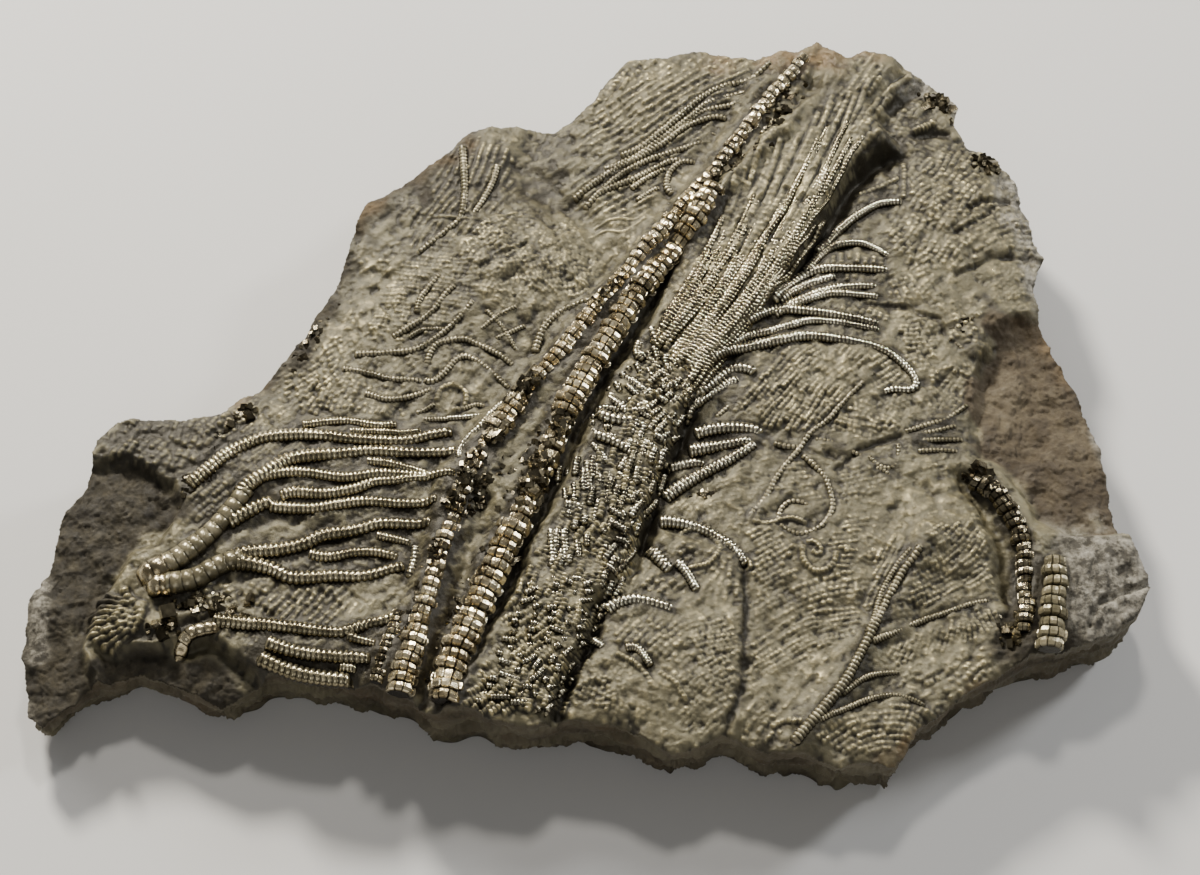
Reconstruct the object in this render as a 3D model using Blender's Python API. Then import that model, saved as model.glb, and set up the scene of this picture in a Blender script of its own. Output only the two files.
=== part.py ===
"""A slab of dark shale carrying a pyritized fossil crinoid group.

The slab lies flat, its fossil face up. X runs to the right and Y away from
someone who looks at the fossil with its left arms on the left. Plan sizes are
in millimetres and are turned into metres where a mesh is made.
"""
import math
import random

import bmesh
import bpy
import numpy as np

MM = 0.001

# Levels of the slab
BASE_LEVEL = 15.0
CREST_LEVEL = 40.0
GRID_STEP = 5.0
EDGE_TAPER = 2.4

# Stalks and arms
STALK_PITCH = 3.0
STALK_SIDES = 6
ARM_STEP = 6.0
ARM_SIDES = 4
FLAT_ANGLE = math.radians(2.5)

OUTLINE = [
    (-87, -60), (-90, -57.5), (-91.8, -48), (-91.3, -37.5), (-88.5, -33), (-86.5, -22), (-83.5, -17.5),
    (-82, -10), (-78.5, -6.3), (-72, -5.6), (-66, -5.6), (-61.5, -4.2), (-58.5, -1.2), (-55.5, 0), (-52.3, 4),
    (-50, 9), (-47.5, 13), (-45, 18), (-42.5, 23.5), (-41.2, 29.5), (-40, 35), (-38.5, 37.3), (-32.5, 41),
    (-27.5, 45), (-25, 47), (-21, 51.8), (-12.8, 53), (-6, 52), (-4, 53), (-1, 55), (3, 62), (6.5, 66), (13, 67.2),
    (19, 68.7), (26.5, 66.6), (35, 67.2), (37, 66.8), (40.5, 69), (45.7, 65.3), (49, 67), (56.5, 64.3),
    (61.3, 61), (66, 56.8), (64.8, 52), (67, 48), (71.5, 45.5), (75, 40), (75.7, 35), (77, 31), (78.7, 25),
    (76.8, 19), (77.5, 13), (79.5, 7), (82, 1.5), (85.5, -9), (86.9, -17), (87, -25), (90, -31), (91.8, -38),
    (89, -43), (83, -47.3), (77, -49), (71, -50.2), (66, -53.2), (60, -57), (53, -62.5), (50, -67), (48.5, -68.5),
    (42, -68), (40, -69), (34, -67), (27, -66), (21.5, -63.8), (18.5, -65.5), (13.5, -67), (9, -64.5), (3, -62),
    (-3, -61.5), (-8.7, -63.5), (-14.7, -62.5), (-18.7, -60.5), (-25.7, -60.8), (-27.7, -58), (-34.2, -56),
    (-42, -54.5), (-50, -52.5), (-56, -56.5), (-58.5, -57.3), (-66, -54), (-72, -51.4), (-79, -53.5), (-84, -58),
]

# Raised and sunken parts of the face: outline, rise, width of the soft edge
PLATEAUS = {
    "crown mass": ([(-24, -70), (-20, -50), (-12, -35), (-7, -22), (-1, -8), (5, 4), (10, 14), (16, 25), (21, 35),
                    (30, 46), (40, 58), (45, 74), (58, 72), (54, 59), (50, 52), (54, 46), (46, 42), (41, 32),
                    (36, 24), (30, 15), (24, 7), (18, -3), (14, -13), (10, -24), (5, -37), (1, -42), (-1, -49),
                    (-5, -58), (-8, -70)], 3.2, 3.0),
    "stalk bank": ([(-36, -58), (-27, -34), (-24, -18), (-16, -6), (-8, 4), (0, 15), (12, 31), (22, 45), (36, 74),
                    (46, 74), (36, 52), (24, 36), (14, 22), (6, 6), (-2, -10), (-8, -25), (-16, -44), (-22, -70),
                    (-32, -70)], 2.6, 4.0),
    "left recess": ([(-98, -34), (-84, -14.5), (-76, -14.5), (-68, -18.5), (-66.5, -22), (-69.5, -29), (-74, -31),
                     (-77, -37), (-80, -42), (-81, -48), (-78, -54), (-84, -66), (-98, -66)], -2.6, 2.2),
    "lower left ledge": ([(-79, -47.5), (-66, -47.5), (-61, -46), (-57, -49), (-50, -54), (-56, -60), (-76, -56)],
                         -3.0, 1.8),
    "brown break": ([(65.5, 2), (68, 10), (73, 13.5), (86, 13), (94, -24), (88, -27.5), (79, -27.5), (74, -25),
                     (70, -16), (65, -13), (64.5, -5)], -2.4, 2.5),
    "right lump": ([(73, -28), (80, -28), (92, -27), (98, -36), (94, -46), (80, -52), (70, -54), (69, -44)],
                   1.6, 3.0),
    "lower middle": ([(1, -42), (6, -37), (12, -28), (24, -32), (25.6, -40), (25.2, -56), (23, -72), (-6, -72),
                      (-4, -58)], 1.2, 2.4),
}
# Low banks and grooves: route, rise, half width
BANKS = {
    "stalk crevice": ([(16, 26), (10, 13), (4, 1.5), (-1.5, -10), (-5, -19), (-8.5, -27), (-12, -36), (-17, -47),
                       (-20, -54)], -3.0, 1.3),
    "crown foot top": ([(54, 61), (50, 55)], -1.5, 1.2),
    "crown foot right": ([(54, 45), (49, 43.5), (44.5, 38), (40, 29), (35, 21)], -1.6, 2.0),
    "crown foot middle": ([(16, -7), (12.5, -16), (9.5, -24), (8.5, -31)], -1.4, 1.4),
    "crown foot bottom": ([(1.5, -41), (0.5, -47), (-3.5, -55)], -1.6, 1.5),
    "strip between stalks": ([(-27, -62), (-22.5, -46), (-19.5, -32), (-17, -24)], -1.8, 1.9),
    "upper valley": ([(-7, 54), (-11, 43), (-6, 36), (0, 30), (4, 23)], -1.8, 4.0),
    "small stalk trench": ([(61.5, -18), (65, -23), (68, -31), (68.5, -39)], -2.2, 1.7),
    "branched arm bank": ([(33, -66), (42, -52), (50, -40), (55, -30)], 1.4, 3.0),
}
# Broad swells and falls: centre, radii, turn in degrees, rise
SWELLS = {
    "shaggy hump": ((-11, 22), (19, 12), 25, 2.4),
    "upper left shoulder": ((-20, 38), (8, 15), -10, 1.2),
    "upper dome": ((14, 56), (20, 11), 20, 1.2),
    "left arm swell": ((-45, -17), (22, 9), 0, 1.4),
    "lower arm swell": ((-45, -48), (18, 6), -4, 1.6),
    "right dome": ((38, 3), (13, 8), 25, 1.2),
    "net dome": ((36, -33), (13, 13), 0, 0.9),
    "lower middle dome": ((10, -51), (13, 9), 0, 1.4),
    "pale dome": ((59, -29), (9, 7), 30, 1.8),
    "right shoulder": ((62, 33), (11, 14), 20, 1.4),
    "left tip fall": ((-92, -56), (18, 16), 0, -2.5),
    "left side fall": ((-52, 18), (18, 30), -35, -2.5),
}

# Jointed stalks: radius at the first point, radius at the last, rise of the axis, route
STALKS = {
    "left stalk": (2.7, 1.4, 0.3,
                   [(-29.6, -57), (-27.3, -48), (-24.5, -36), (-21.8, -25), (-20, -19.5), (-14.5, -9.5),
                    (-9.5, -1.5), (-3, 7), (3, 15.5), (9, 24), (15, 31.5), (22, 40.5), (28, 50), (34, 58.5),
                    (38, 64.3)]),
    "right stalk": (2.9, 2.2, 0.5,
                    [(-22.3, -59), (-20.5, -50), (-16.7, -40), (-13, -31), (-8.8, -21), (-5, -10.5), (-0.5, 0),
                     (5.2, 10), (11, 20), (17.5, 29), (21, 34.5)]),
    "small curved stalk": (1.9, 1.4, 0.2,
                           [(62.5, -17), (66.5, -20), (69.3, -24.5), (70.9, -30), (70.8, -37), (70, -46)]),
    "small straight stalk": (1.9, 2.1, 0.2, [(75.5, -33), (75, -41), (73.8, -49)]),
}

# Arms by group: radius at the first point, radius at the last, routes
ARMS = {
    "left arms": (1.5, 0.9, [
        [(-72, -35.5), (-64, -30.5), (-59, -25.5), (-52, -17), (-45, -14.3), (-36, -13.3), (-22, -13.3)],
        [(-59, -26.5), (-52, -22.5), (-45, -23.8), (-36, -22.5), (-26, -22.8)],
        [(-52, -22), (-48, -21), (-43, -21.2), (-35, -19)],
        [(-52, -18), (-46, -17.5), (-40, -18.3), (-34, -17.5), (-22, -18.7)],
        [(-66, -20), (-60, -14), (-54, -10.5), (-45, -10), (-35, -11.2), (-21.5, -9)],
        [(-48, -8), (-40, -7.2), (-32, -7.8)],
        [(-72, -36), (-63, -36), (-56, -32.5), (-46, -30), (-39, -27.8), (-30, -26.3), (-26, -26.7)],
        [(-47, -31.5), (-42, -32.3), (-34, -31.5), (-30, -32.3)],
        [(-57, -33), (-51, -34.5), (-44, -36), (-36, -35.7), (-30, -34.2)],
        [(-60, -44), (-50, -45), (-40, -46.3), (-31, -43.5)],
        [(-51, -48), (-42, -50.3), (-36, -50.5)],
        [(-53, -50), (-46, -53), (-38, -53.8)],
    ]),
    "crown arms": (0.9, 0.9, [
        [(9, -26), (13, -15), (17, -4), (21, 4), (27, 11.5), (34, 22), (40, 31), (44.5, 40), (50, 44.7)],
        [(4, -38), (7, -27), (11, -14), (15, -3), (22, 7.5), (30, 16.5), (37, 28), (43, 40), (49, 51), (54, 61)],
        [(20, 7), (27, 17.5), (34, 30), (39, 41), (44, 51), (49, 62)],
        [(16, 7), (22, 17), (29, 29), (34, 39), (38, 47), (43, 56)],
        [(13, 9), (18, 18), (24, 29), (28, 37), (33, 46)],
        [(11, 4), (15, 16), (20, 27), (24, 36)],
        [(0, -40), (3, -28), (7, -14), (11, -3)],
        [(-5, -48), (-1, -35), (2, -24)],
    ]),
    "right arms": (1.2, 0.7, [
        [(32, 16), (37, 21.5), (46, 22.5), (52, 22)],
        [(31, 13.5), (38, 16.5), (43, 18), (50, 17.5)],
        [(26, 10.5), (33, 14.3), (42, 13.2), (50, 11)],
        [(20, 3), (24, 6), (32, 8), (43, 8), (51, 5.5), (55, 0), (48.7, -2)],
        [(18, -5), (23, 0.5), (28.5, 1)],
        [(17, -10), (24, -8.5), (29, -10.5)],
        [(16, -13), (24, -11.5), (28.5, -10.5)],
        [(11, -22), (20, -16.5), (28.5, -10.8), (36, -12)],
        [(11, -26), (18, -27), (24, -31)],
        [(9, -30), (14, -36)],
        [(2.5, -43), (8, -40.5), (14.5, -42.5)],
        [(39, 26), (44, 31), (51, 35.5), (55, 35.5)],
        [(37, 22.5), (43, 27.3), (52, 24.5)],
        [(36, -14), (39.5, -18), (40, -24), (34.5, -28.3), (31.5, -26)],
        [(26, -25.5), (33, -15), (42, -4.5), (49, 2.5)],
        [(52, -9.7), (58, -9), (64, -4)],
        [(32, -65), (41, -54.5), (46.5, -44), (54.5, -30.5)],
        [(46, -48), (54, -43.5), (65.5, -39.8)],
        [(40, -57), (46, -53), (50.5, -52.5)],
    ]),
    "upper arms": (0.9, 0.7, [
        [(5, 44.5), (13, 50), (20, 57), (33, 64)],
        [(2, 42), (11, 47), (20, 54), (27, 56)],
        [(-3, 36), (5, 42.5), (13, 47.5), (23, 52.8)],
        [(1, 37), (9, 41), (17, 45.5)],
        [(-22, 48), (-21.3, 36), (-24, 30), (-30, 25)],
        [(-33.5, 8.5), (-26.5, 13.5), (-22, 19)],
        [(-40, 6), (-29, 6.5), (-21, 13)],
    ]),
}

# Angular bodies: centre in plan, size, turn in degrees
CRYSTALS = {
    "cup plates": ((-71, -36.5), (5.5, 5.0, 4.2), 24),
    "cup shoulder": ((-66, -34.5), (3.6, 4.6, 3.6), 10),
    "cube crystal": ((-67.5, -42.5), (2.6, 2.4, 3.0), 8),
    "stalk head": ((62.6, -16.6), (4.2, 3.4, 4.4), 35),
    "coiled arm tip": ((36.5, -31.5), (5.0, 5.0, 2.6), 20),
}


def smooth_step(amount):
    amount = np.clip(amount, 0.0, 1.0)
    return amount * amount * (3.0 - 2.0 * amount)


def distance_to(x, y, route, closed=False):
    """Distance from a plan point, or from many, to a route of straight pieces."""
    points = np.array(route, float)
    starts = points if closed else points[:-1]
    ends = np.roll(points, -1, axis=0) if closed else points[1:]
    nearest = np.full(np.shape(x), 1e9)
    for (ax, ay), (bx, by) in zip(starts, ends):
        dx, dy = bx - ax, by - ay
        along = np.clip(((x - ax) * dx + (y - ay) * dy) / (dx * dx + dy * dy), 0.0, 1.0)
        nearest = np.minimum(nearest, np.hypot(x - ax - along * dx, y - ay - along * dy))
    return nearest


def is_inside(x, y, outline):
    points = np.array(outline, float)
    inside = np.zeros(np.shape(x), bool)
    for (ax, ay), (bx, by) in zip(points, np.roll(points, -1, axis=0)):
        if ay == by:
            continue
        spans = (ay > y) != (by > y)
        inside ^= spans & (x < (bx - ax) * (y - ay) / (by - ay) + ax)
    return inside


def face_height(x, y):
    """Height of the fossil face above the underside."""
    x = np.asarray(x, float)
    y = np.asarray(y, float)
    z = np.full(x.shape, BASE_LEVEL)
    for outline, rise, soft in PLATEAUS.values():
        depth = distance_to(x, y, outline, closed=True)
        depth = np.where(is_inside(x, y, outline), depth, -depth)
        z += rise * smooth_step(0.5 + depth / soft)
    for route, rise, half_width in BANKS.values():
        z += rise * np.exp(-(distance_to(x, y, route) / half_width) ** 2)
    for (cx, cy), (rx, ry), turn, rise in SWELLS.values():
        angle = math.radians(turn)
        u = ((x - cx) * math.cos(angle) + (y - cy) * math.sin(angle)) / rx
        v = ((y - cy) * math.cos(angle) - (x - cx) * math.sin(angle)) / ry
        z += rise * np.exp(-1.2 * (u * u + v * v))
    return z


def new_object(name, bm):
    """An object from a bmesh in millimetres."""
    bmesh.ops.scale(bm, vec=(MM, MM, MM), verts=bm.verts)
    bmesh.ops.recalc_face_normals(bm, faces=bm.faces)
    mesh = bpy.data.meshes.new(name)
    bm.to_mesh(mesh)
    bm.free()
    obj = bpy.data.objects.new(name, mesh)
    bpy.context.scene.collection.objects.link(obj)
    return obj


def relief_block():
    """A block whose upper side is the fossil face."""
    xs = np.arange(-98.0, 98.1, GRID_STEP)
    ys = np.arange(-76.0, 76.1, GRID_STEP)
    rng = random.Random(11)
    bm = bmesh.new()
    columns = []
    for i, x in enumerate(xs):
        column = []
        for j, y in enumerate(ys):
            stagger = 0.5 * GRID_STEP if j % 2 else 0.0
            px = x + stagger + rng.uniform(-0.5, 0.5)
            py = y + rng.uniform(-0.5, 0.5)
            column.append(bm.verts.new((px, py, float(face_height(px, py)) + rng.uniform(-0.25, 0.25))))
        columns.append(column)
    for i in range(len(xs) - 1):
        for j in range(len(ys) - 1):
            a, b = columns[i][j], columns[i + 1][j]
            c, d = columns[i + 1][j + 1], columns[i][j + 1]
            if j % 2:
                bm.faces.new((a, b, c))
                bm.faces.new((a, c, d))
            else:
                bm.faces.new((a, b, d))
                bm.faces.new((b, c, d))
    rim = [e for e in bm.edges if e.is_boundary]
    made = bmesh.ops.extrude_edge_only(bm, edges=rim)["geom"]
    low_verts = [g for g in made if isinstance(g, bmesh.types.BMVert)]
    for vert in low_verts:
        vert.co.z = -6.0
    low_rim = [g for g in made if isinstance(g, bmesh.types.BMEdge) and g.is_boundary]
    bmesh.ops.contextual_create(bm, geom=low_rim)
    bmesh.ops.triangulate(bm, faces=bm.faces)
    return new_object("relief block", bm)


def outline_prism():
    """The slab's broken edge, drawn in a little towards the flat underside."""
    rng = random.Random(5)
    points = np.array(OUTLINE, float)
    before = np.roll(points, 1, axis=0)
    after = np.roll(points, -1, axis=0)
    run = after - before
    inward = np.stack([run[:, 1], -run[:, 0]], axis=1) / np.linalg.norm(run, axis=1, keepdims=True)
    bm = bmesh.new()
    rings = []
    for level, inset in ((0.0, EDGE_TAPER), (4.5, 0.45 * EDGE_TAPER), (9.5, 0.0), (CREST_LEVEL, 0.0)):
        ring = []
        shift = 0.0
        for k in range(len(points)):
            if inset > 0.0:
                shift = 0.5 * shift + rng.uniform(-0.9, 0.5)
            px, py = points[k] + inward[k] * max(inset + shift, 0.0)
            ring.append(bm.verts.new((px, py, level)))
        rings.append(ring)
    count = len(points)
    for low, high in zip(rings, rings[1:]):
        for k in range(count):
            bm.faces.new((low[k], low[(k + 1) % count], high[(k + 1) % count], high[k]))
    bm.faces.new(rings[0])
    bm.faces.new(rings[-1])
    bmesh.ops.triangulate(bm, faces=bm.faces)
    return new_object("outline prism", bm)


def sample_route(route, step):
    """Points at an even step along a smooth curve through the route's points."""
    points = np.array(route, float)
    padded = np.vstack([2 * points[0] - points[1], points, 2 * points[-1] - points[-2]])
    dense = []
    for p0, p1, p2, p3 in zip(padded, padded[1:], padded[2:], padded[3:]):
        for t in np.linspace(0.0, 1.0, 12, endpoint=False):
            dense.append(0.5 * (2 * p1 + (p2 - p0) * t + (2 * p0 - 5 * p1 + 4 * p2 - p3) * t * t
                                + (3 * p1 - p0 - 3 * p2 + p3) * t ** 3))
    dense.append(points[-1])
    dense = np.array(dense)
    travel = np.concatenate([[0.0], np.cumsum(np.linalg.norm(np.diff(dense, axis=0), axis=1))])
    count = max(2, int(round(travel[-1] / step)) + 1)
    even = np.linspace(0.0, travel[-1], count)
    return np.stack([np.interp(even, travel, dense[:, 0]), np.interp(even, travel, dense[:, 1])], axis=1)


def tube(name, path, heights, radii, sides):
    """A closed tube along a plan path, with its own radius at each point."""
    bm = bmesh.new()
    headings = np.gradient(path, axis=0)
    headings /= np.linalg.norm(headings, axis=1, keepdims=True)
    rings = []
    for (x, y), z, radius, (hx, hy) in zip(path, heights, radii, headings):
        ring = []
        for k in range(sides):
            angle = 2.0 * math.pi * k / sides
            side = radius * math.cos(angle)
            ring.append(bm.verts.new((x - hy * side, y + hx * side, z + radius * math.sin(angle))))
        rings.append(ring)
    for low, high in zip(rings, rings[1:]):
        for k in range(sides):
            bm.faces.new((low[k], low[(k + 1) % sides], high[(k + 1) % sides], high[k]))
    bm.faces.new(rings[0])
    bm.faces.new(rings[-1])
    bmesh.ops.triangulate(bm, faces=bm.faces)
    return new_object(name, bm)


def stalk(name, first_radius, last_radius, rise, route):
    """A stalk of joined discs: each disc is wide at its middle and narrow at the seam."""
    path = sample_route(route, 0.5 * STALK_PITCH)
    radii = np.linspace(first_radius, last_radius, len(path))
    radii[1::2] *= 0.8
    heights = face_height(path[:, 0], path[:, 1]) + rise
    return tube(name, path, smoothed(heights, 2), radii, STALK_SIDES)


def arm(name, first_radius, last_radius, route):
    path = sample_route(route, ARM_STEP)
    radii = np.linspace(first_radius, last_radius, len(path))
    heights = face_height(path[:, 0], path[:, 1]) + 0.25 * radii
    return tube(name, path, heights, radii, ARM_SIDES)


def smoothed(values, rounds):
    for _ in range(rounds):
        inner = 0.25 * values[:-2] + 0.5 * values[1:-1] + 0.25 * values[2:]
        values = np.concatenate([values[:1], inner, values[-1:]])
    return values


def crystal(name, centre, size, turn):
    """A bevelled block set half into the face."""
    bm = bmesh.new()
    bmesh.ops.create_cube(bm, size=1.0)
    bmesh.ops.bevel(bm, geom=bm.edges[:], offset=0.16, segments=1, affect="EDGES")
    angle = math.radians(turn)
    z = float(face_height(centre[0], centre[1])) + 0.12 * size[2]
    for vert in bm.verts:
        u, v, w = vert.co.x * size[0], vert.co.y * size[1], vert.co.z * size[2]
        vert.co = (centre[0] + u * math.cos(angle) - v * math.sin(angle),
                   centre[1] + u * math.sin(angle) + v * math.cos(angle), z + w)
    bmesh.ops.triangulate(bm, faces=bm.faces)
    return new_object(name, bm)


def stone_material():
    material = bpy.data.materials.new("pyrite and shale")
    material.use_nodes = True
    shader = material.node_tree.nodes["Principled BSDF"]
    shader.inputs["Base Color"].default_value = (0.27, 0.245, 0.195, 1.0)
    shader.inputs["Metallic"].default_value = 0.45
    shader.inputs["Roughness"].default_value = 0.42
    return material


def fossil_slab():
    """The slab with everything on its face, as one solid."""
    slab = relief_block()
    cut = slab.modifiers.new("broken outline", "BOOLEAN")
    cut.operation = "INTERSECT"
    prism = outline_prism()
    cut.object = prism
    reliefs = bpy.data.collections.new("reliefs")
    bpy.context.scene.collection.children.link(reliefs)
    for name, values in STALKS.items():
        reliefs.objects.link(stalk(name, *values))
    for group, (first_radius, last_radius, routes) in ARMS.items():
        for number, route in enumerate(routes, start=1):
            reliefs.objects.link(arm(f"{group} {number:02d}", first_radius, last_radius, route))
    for name, values in CRYSTALS.items():
        reliefs.objects.link(crystal(name, *values))
    join = slab.modifiers.new("fossil", "BOOLEAN")
    join.operation = "UNION"
    join.operand_type = "COLLECTION"
    join.collection = reliefs
    for guide in [prism] + list(reliefs.objects):
        guide.hide_render = True
        guide.display_type = "WIRE"
    slab.name = "fossil_slab"
    slab.data.materials.append(stone_material())
    return slab


def one_body(slab):
    """Applies the joins, clears the slivers they leave and drops the sealed pockets under crossing arms."""
    bpy.context.view_layer.update()
    evaluated = slab.evaluated_get(bpy.context.evaluated_depsgraph_get())
    bm = bmesh.new()
    bm.from_mesh(evaluated.data)
    waiting = set(bm.verts)
    shells = []
    while waiting:
        reached = {waiting.pop()}
        front = list(reached)
        while front:
            vert = front.pop()
            for edge in vert.link_edges:
                other = edge.other_vert(vert)
                if other in waiting:
                    waiting.remove(other)
                    reached.add(other)
                    front.append(other)
        shells.append(reached)
    shells.sort(key=len)
    for pocket in shells[:-1]:
        bmesh.ops.delete(bm, geom=list(pocket), context="VERTS")
    bmesh.ops.dissolve_limit(bm, angle_limit=FLAT_ANGLE, verts=bm.verts, edges=bm.edges)
    bmesh.ops.triangulate(bm, faces=bm.faces)
    corners = np.array([vert.co for vert in bm.verts])
    middle = 0.5 * (corners.min(axis=0) + corners.max(axis=0))
    bmesh.ops.translate(bm, vec=(-middle[0], -middle[1], -corners[:, 2].min()), verts=bm.verts)
    slab.modifiers.clear()
    bm.to_mesh(slab.data)
    bm.free()


def main():
    for obj in list(bpy.data.objects):
        bpy.data.objects.remove(obj, do_unlink=True)
    one_body(fossil_slab())


main()
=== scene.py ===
"""Looks of the pyritized crinoid slab: rock, jointed stalks, arms, pinnules, light and camera.

Plan sizes are in millimetres, in the frame of the CAD part, and are turned
into metres where a mesh is made.
"""
import math
from typing import NamedTuple

import bmesh
import bpy
import numpy as np
from mathutils import Euler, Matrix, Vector
from mathutils.geometry import tessellate_polygon


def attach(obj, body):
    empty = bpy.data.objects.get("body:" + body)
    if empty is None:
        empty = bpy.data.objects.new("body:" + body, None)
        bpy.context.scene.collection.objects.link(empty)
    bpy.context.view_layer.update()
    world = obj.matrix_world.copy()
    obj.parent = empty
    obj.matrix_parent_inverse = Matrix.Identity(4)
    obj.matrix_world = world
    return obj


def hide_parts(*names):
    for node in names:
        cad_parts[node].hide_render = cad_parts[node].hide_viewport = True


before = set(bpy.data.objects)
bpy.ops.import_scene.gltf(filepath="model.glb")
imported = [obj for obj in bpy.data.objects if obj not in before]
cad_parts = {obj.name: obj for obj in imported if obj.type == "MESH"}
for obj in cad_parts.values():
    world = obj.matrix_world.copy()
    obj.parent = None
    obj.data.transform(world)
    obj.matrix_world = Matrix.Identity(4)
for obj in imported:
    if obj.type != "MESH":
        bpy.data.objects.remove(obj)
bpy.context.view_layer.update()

MM = 0.001
BASE_LEVEL = 15.0
EDGE_TAPER = 2.4
# Half the sides of the plan area that the grids cover
HALF_WIDTH = 93.0
HALF_DEPTH = 70.5

# The outline of the slab, as in the part
OUTLINE = [
    (-87, -60), (-90, -57.5), (-91.8, -48), (-91.3, -37.5), (-88.5, -33), (-86.5, -22), (-83.5, -17.5),
    (-82, -10), (-78.5, -6.3), (-72, -5.6), (-66, -5.6), (-61.5, -4.2), (-58.5, -1.2), (-55.5, 0),
    (-52.3, 4), (-50, 9), (-47.5, 13), (-45, 18), (-42.5, 23.5), (-41.2, 29.5), (-40, 35), (-38.5, 37.3),
    (-32.5, 41), (-27.5, 45), (-25, 47), (-21, 51.8), (-12.8, 53), (-6, 52), (-4, 53), (-1, 55), (3, 62),
    (6.5, 66), (13, 67.2), (19, 68.7), (26.5, 66.6), (35, 67.2), (37, 66.8), (40.5, 69), (45.7, 65.3),
    (49, 67), (56.5, 64.3), (61.3, 61), (66, 56.8), (64.8, 52), (67, 48), (71.5, 45.5), (75, 40),
    (75.7, 35), (77, 31), (78.7, 25), (76.8, 19), (77.5, 13), (79.5, 7), (82, 1.5), (85.5, -9), (86.9, -17),
    (87, -25), (90, -31), (91.8, -38), (89, -43), (83, -47.3), (77, -49), (71, -50.2), (66, -53.2),
    (60, -57), (53, -62.5), (50, -67), (48.5, -68.5), (42, -68), (40, -69), (34, -67), (27, -66),
    (21.5, -63.8), (18.5, -65.5), (13.5, -67), (9, -64.5), (3, -62), (-3, -61.5), (-8.7, -63.5),
    (-14.7, -62.5), (-18.7, -60.5), (-25.7, -60.8), (-27.7, -58), (-34.2, -56), (-42, -54.5), (-50, -52.5),
    (-56, -56.5), (-58.5, -57.3), (-66, -54), (-72, -51.4), (-79, -53.5), (-84, -58),
]

# Raised and sunken parts of the face: outline, rise, width of the soft edge
PLATEAUS = {
    "crown mass": ([(-24, -70), (-20, -50), (-12, -35), (-7, -22), (-1, -8), (5, 4), (10, 14), (16, 25),
        (21, 35), (30, 46), (40, 58), (45, 74), (58, 72), (54, 59), (50, 52), (54, 46), (46, 42), (41, 32),
        (36, 24), (30, 15), (24, 7), (18, -3), (14, -13), (10, -24), (5, -37), (1, -42), (-1, -49),
        (-5, -58), (-8, -70)], 3.2, 3.0),
    "stalk bank": ([(-36, -58), (-27, -34), (-24, -18), (-16, -6), (-8, 4), (0, 15), (12, 31), (22, 45),
        (36, 74), (46, 74), (36, 52), (24, 36), (14, 22), (6, 6), (-2, -10), (-8, -25), (-16, -44),
        (-22, -70), (-32, -70)], 2.6, 4.0),
    "left recess": ([(-98, -34), (-84, -14.5), (-76, -14.5), (-68, -18.5), (-66.5, -22), (-69.5, -29),
        (-74, -31), (-77, -37), (-80, -42), (-81, -48), (-78, -54), (-84, -66), (-98, -66)], -2.6, 2.2),
    "lower left ledge": ([(-79, -47.5), (-66, -47.5), (-61, -46), (-57, -49), (-50, -54), (-56, -60),
        (-76, -56)], -3.0, 1.8),
    "brown break": ([(65.5, 2), (68, 10), (73, 13.5), (86, 13), (94, -24), (88, -27.5), (79, -27.5),
        (74, -25), (70, -16), (65, -13), (64.5, -5)], -2.4, 2.5),
    "right lump": ([(73, -28), (80, -28), (92, -27), (98, -36), (94, -46), (80, -52), (70, -54), (69, -44)],
        1.6, 3.0),
    "lower middle": ([(1, -42), (6, -37), (12, -28), (24, -32), (25.6, -40), (25.2, -56), (23, -72),
        (-6, -72), (-4, -58)], 1.2, 2.4),
}
# Low banks and grooves: route, rise, half width
BANKS = {
    "stalk crevice": ([(16, 26), (10, 13), (4, 1.5), (-1.5, -10), (-5, -19), (-8.5, -27), (-12, -36),
        (-17, -47), (-20, -54)], -3.0, 1.3),
    "crown foot top": ([(54, 61), (50, 55)], -1.5, 1.2),
    "crown foot right": ([(54, 45), (49, 43.5), (44.5, 38), (40, 29), (35, 21)], -1.6, 2.0),
    "crown foot middle": ([(16, -7), (12.5, -16), (9.5, -24), (8.5, -31)], -1.4, 1.4),
    "crown foot bottom": ([(1.5, -41), (0.5, -47), (-3.5, -55)], -1.6, 1.5),
    "strip between stalks": ([(-27, -62), (-22.5, -46), (-19.5, -32), (-17, -24)], -1.8, 1.9),
    "upper valley": ([(-7, 54), (-11, 43), (-6, 36), (0, 30), (4, 23)], -1.8, 4.0),
    "small stalk trench": ([(61.5, -18), (65, -23), (68, -31), (68.5, -39)], -2.2, 1.7),
    "branched arm bank": ([(33, -66), (42, -52), (50, -40), (55, -30)], 1.4, 3.0),
}
# Broad swells and falls: centre, radii, turn in degrees, rise
SWELLS = {
    "shaggy hump": ((-11, 22), (19, 12), 25, 2.4),
    "upper left shoulder": ((-20, 38), (8, 15), -10, 1.2),
    "upper dome": ((14, 56), (20, 11), 20, 1.2),
    "left arm swell": ((-45, -17), (22, 9), 0, 1.4),
    "lower arm swell": ((-45, -48), (18, 6), -4, 1.6),
    "right dome": ((38, 3), (13, 8), 25, 1.2),
    "net dome": ((36, -33), (13, 13), 0, 0.9),
    "lower middle dome": ((10, -51), (13, 9), 0, 1.4),
    "pale dome": ((59, -29), (9, 7), 30, 1.8),
    "right shoulder": ((62, 33), (11, 14), 20, 1.4),
    "left tip fall": ((-92, -56), (18, 16), 0, -2.5),
    "left side fall": ((-52, 18), (18, 30), -35, -2.5),
}

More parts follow.
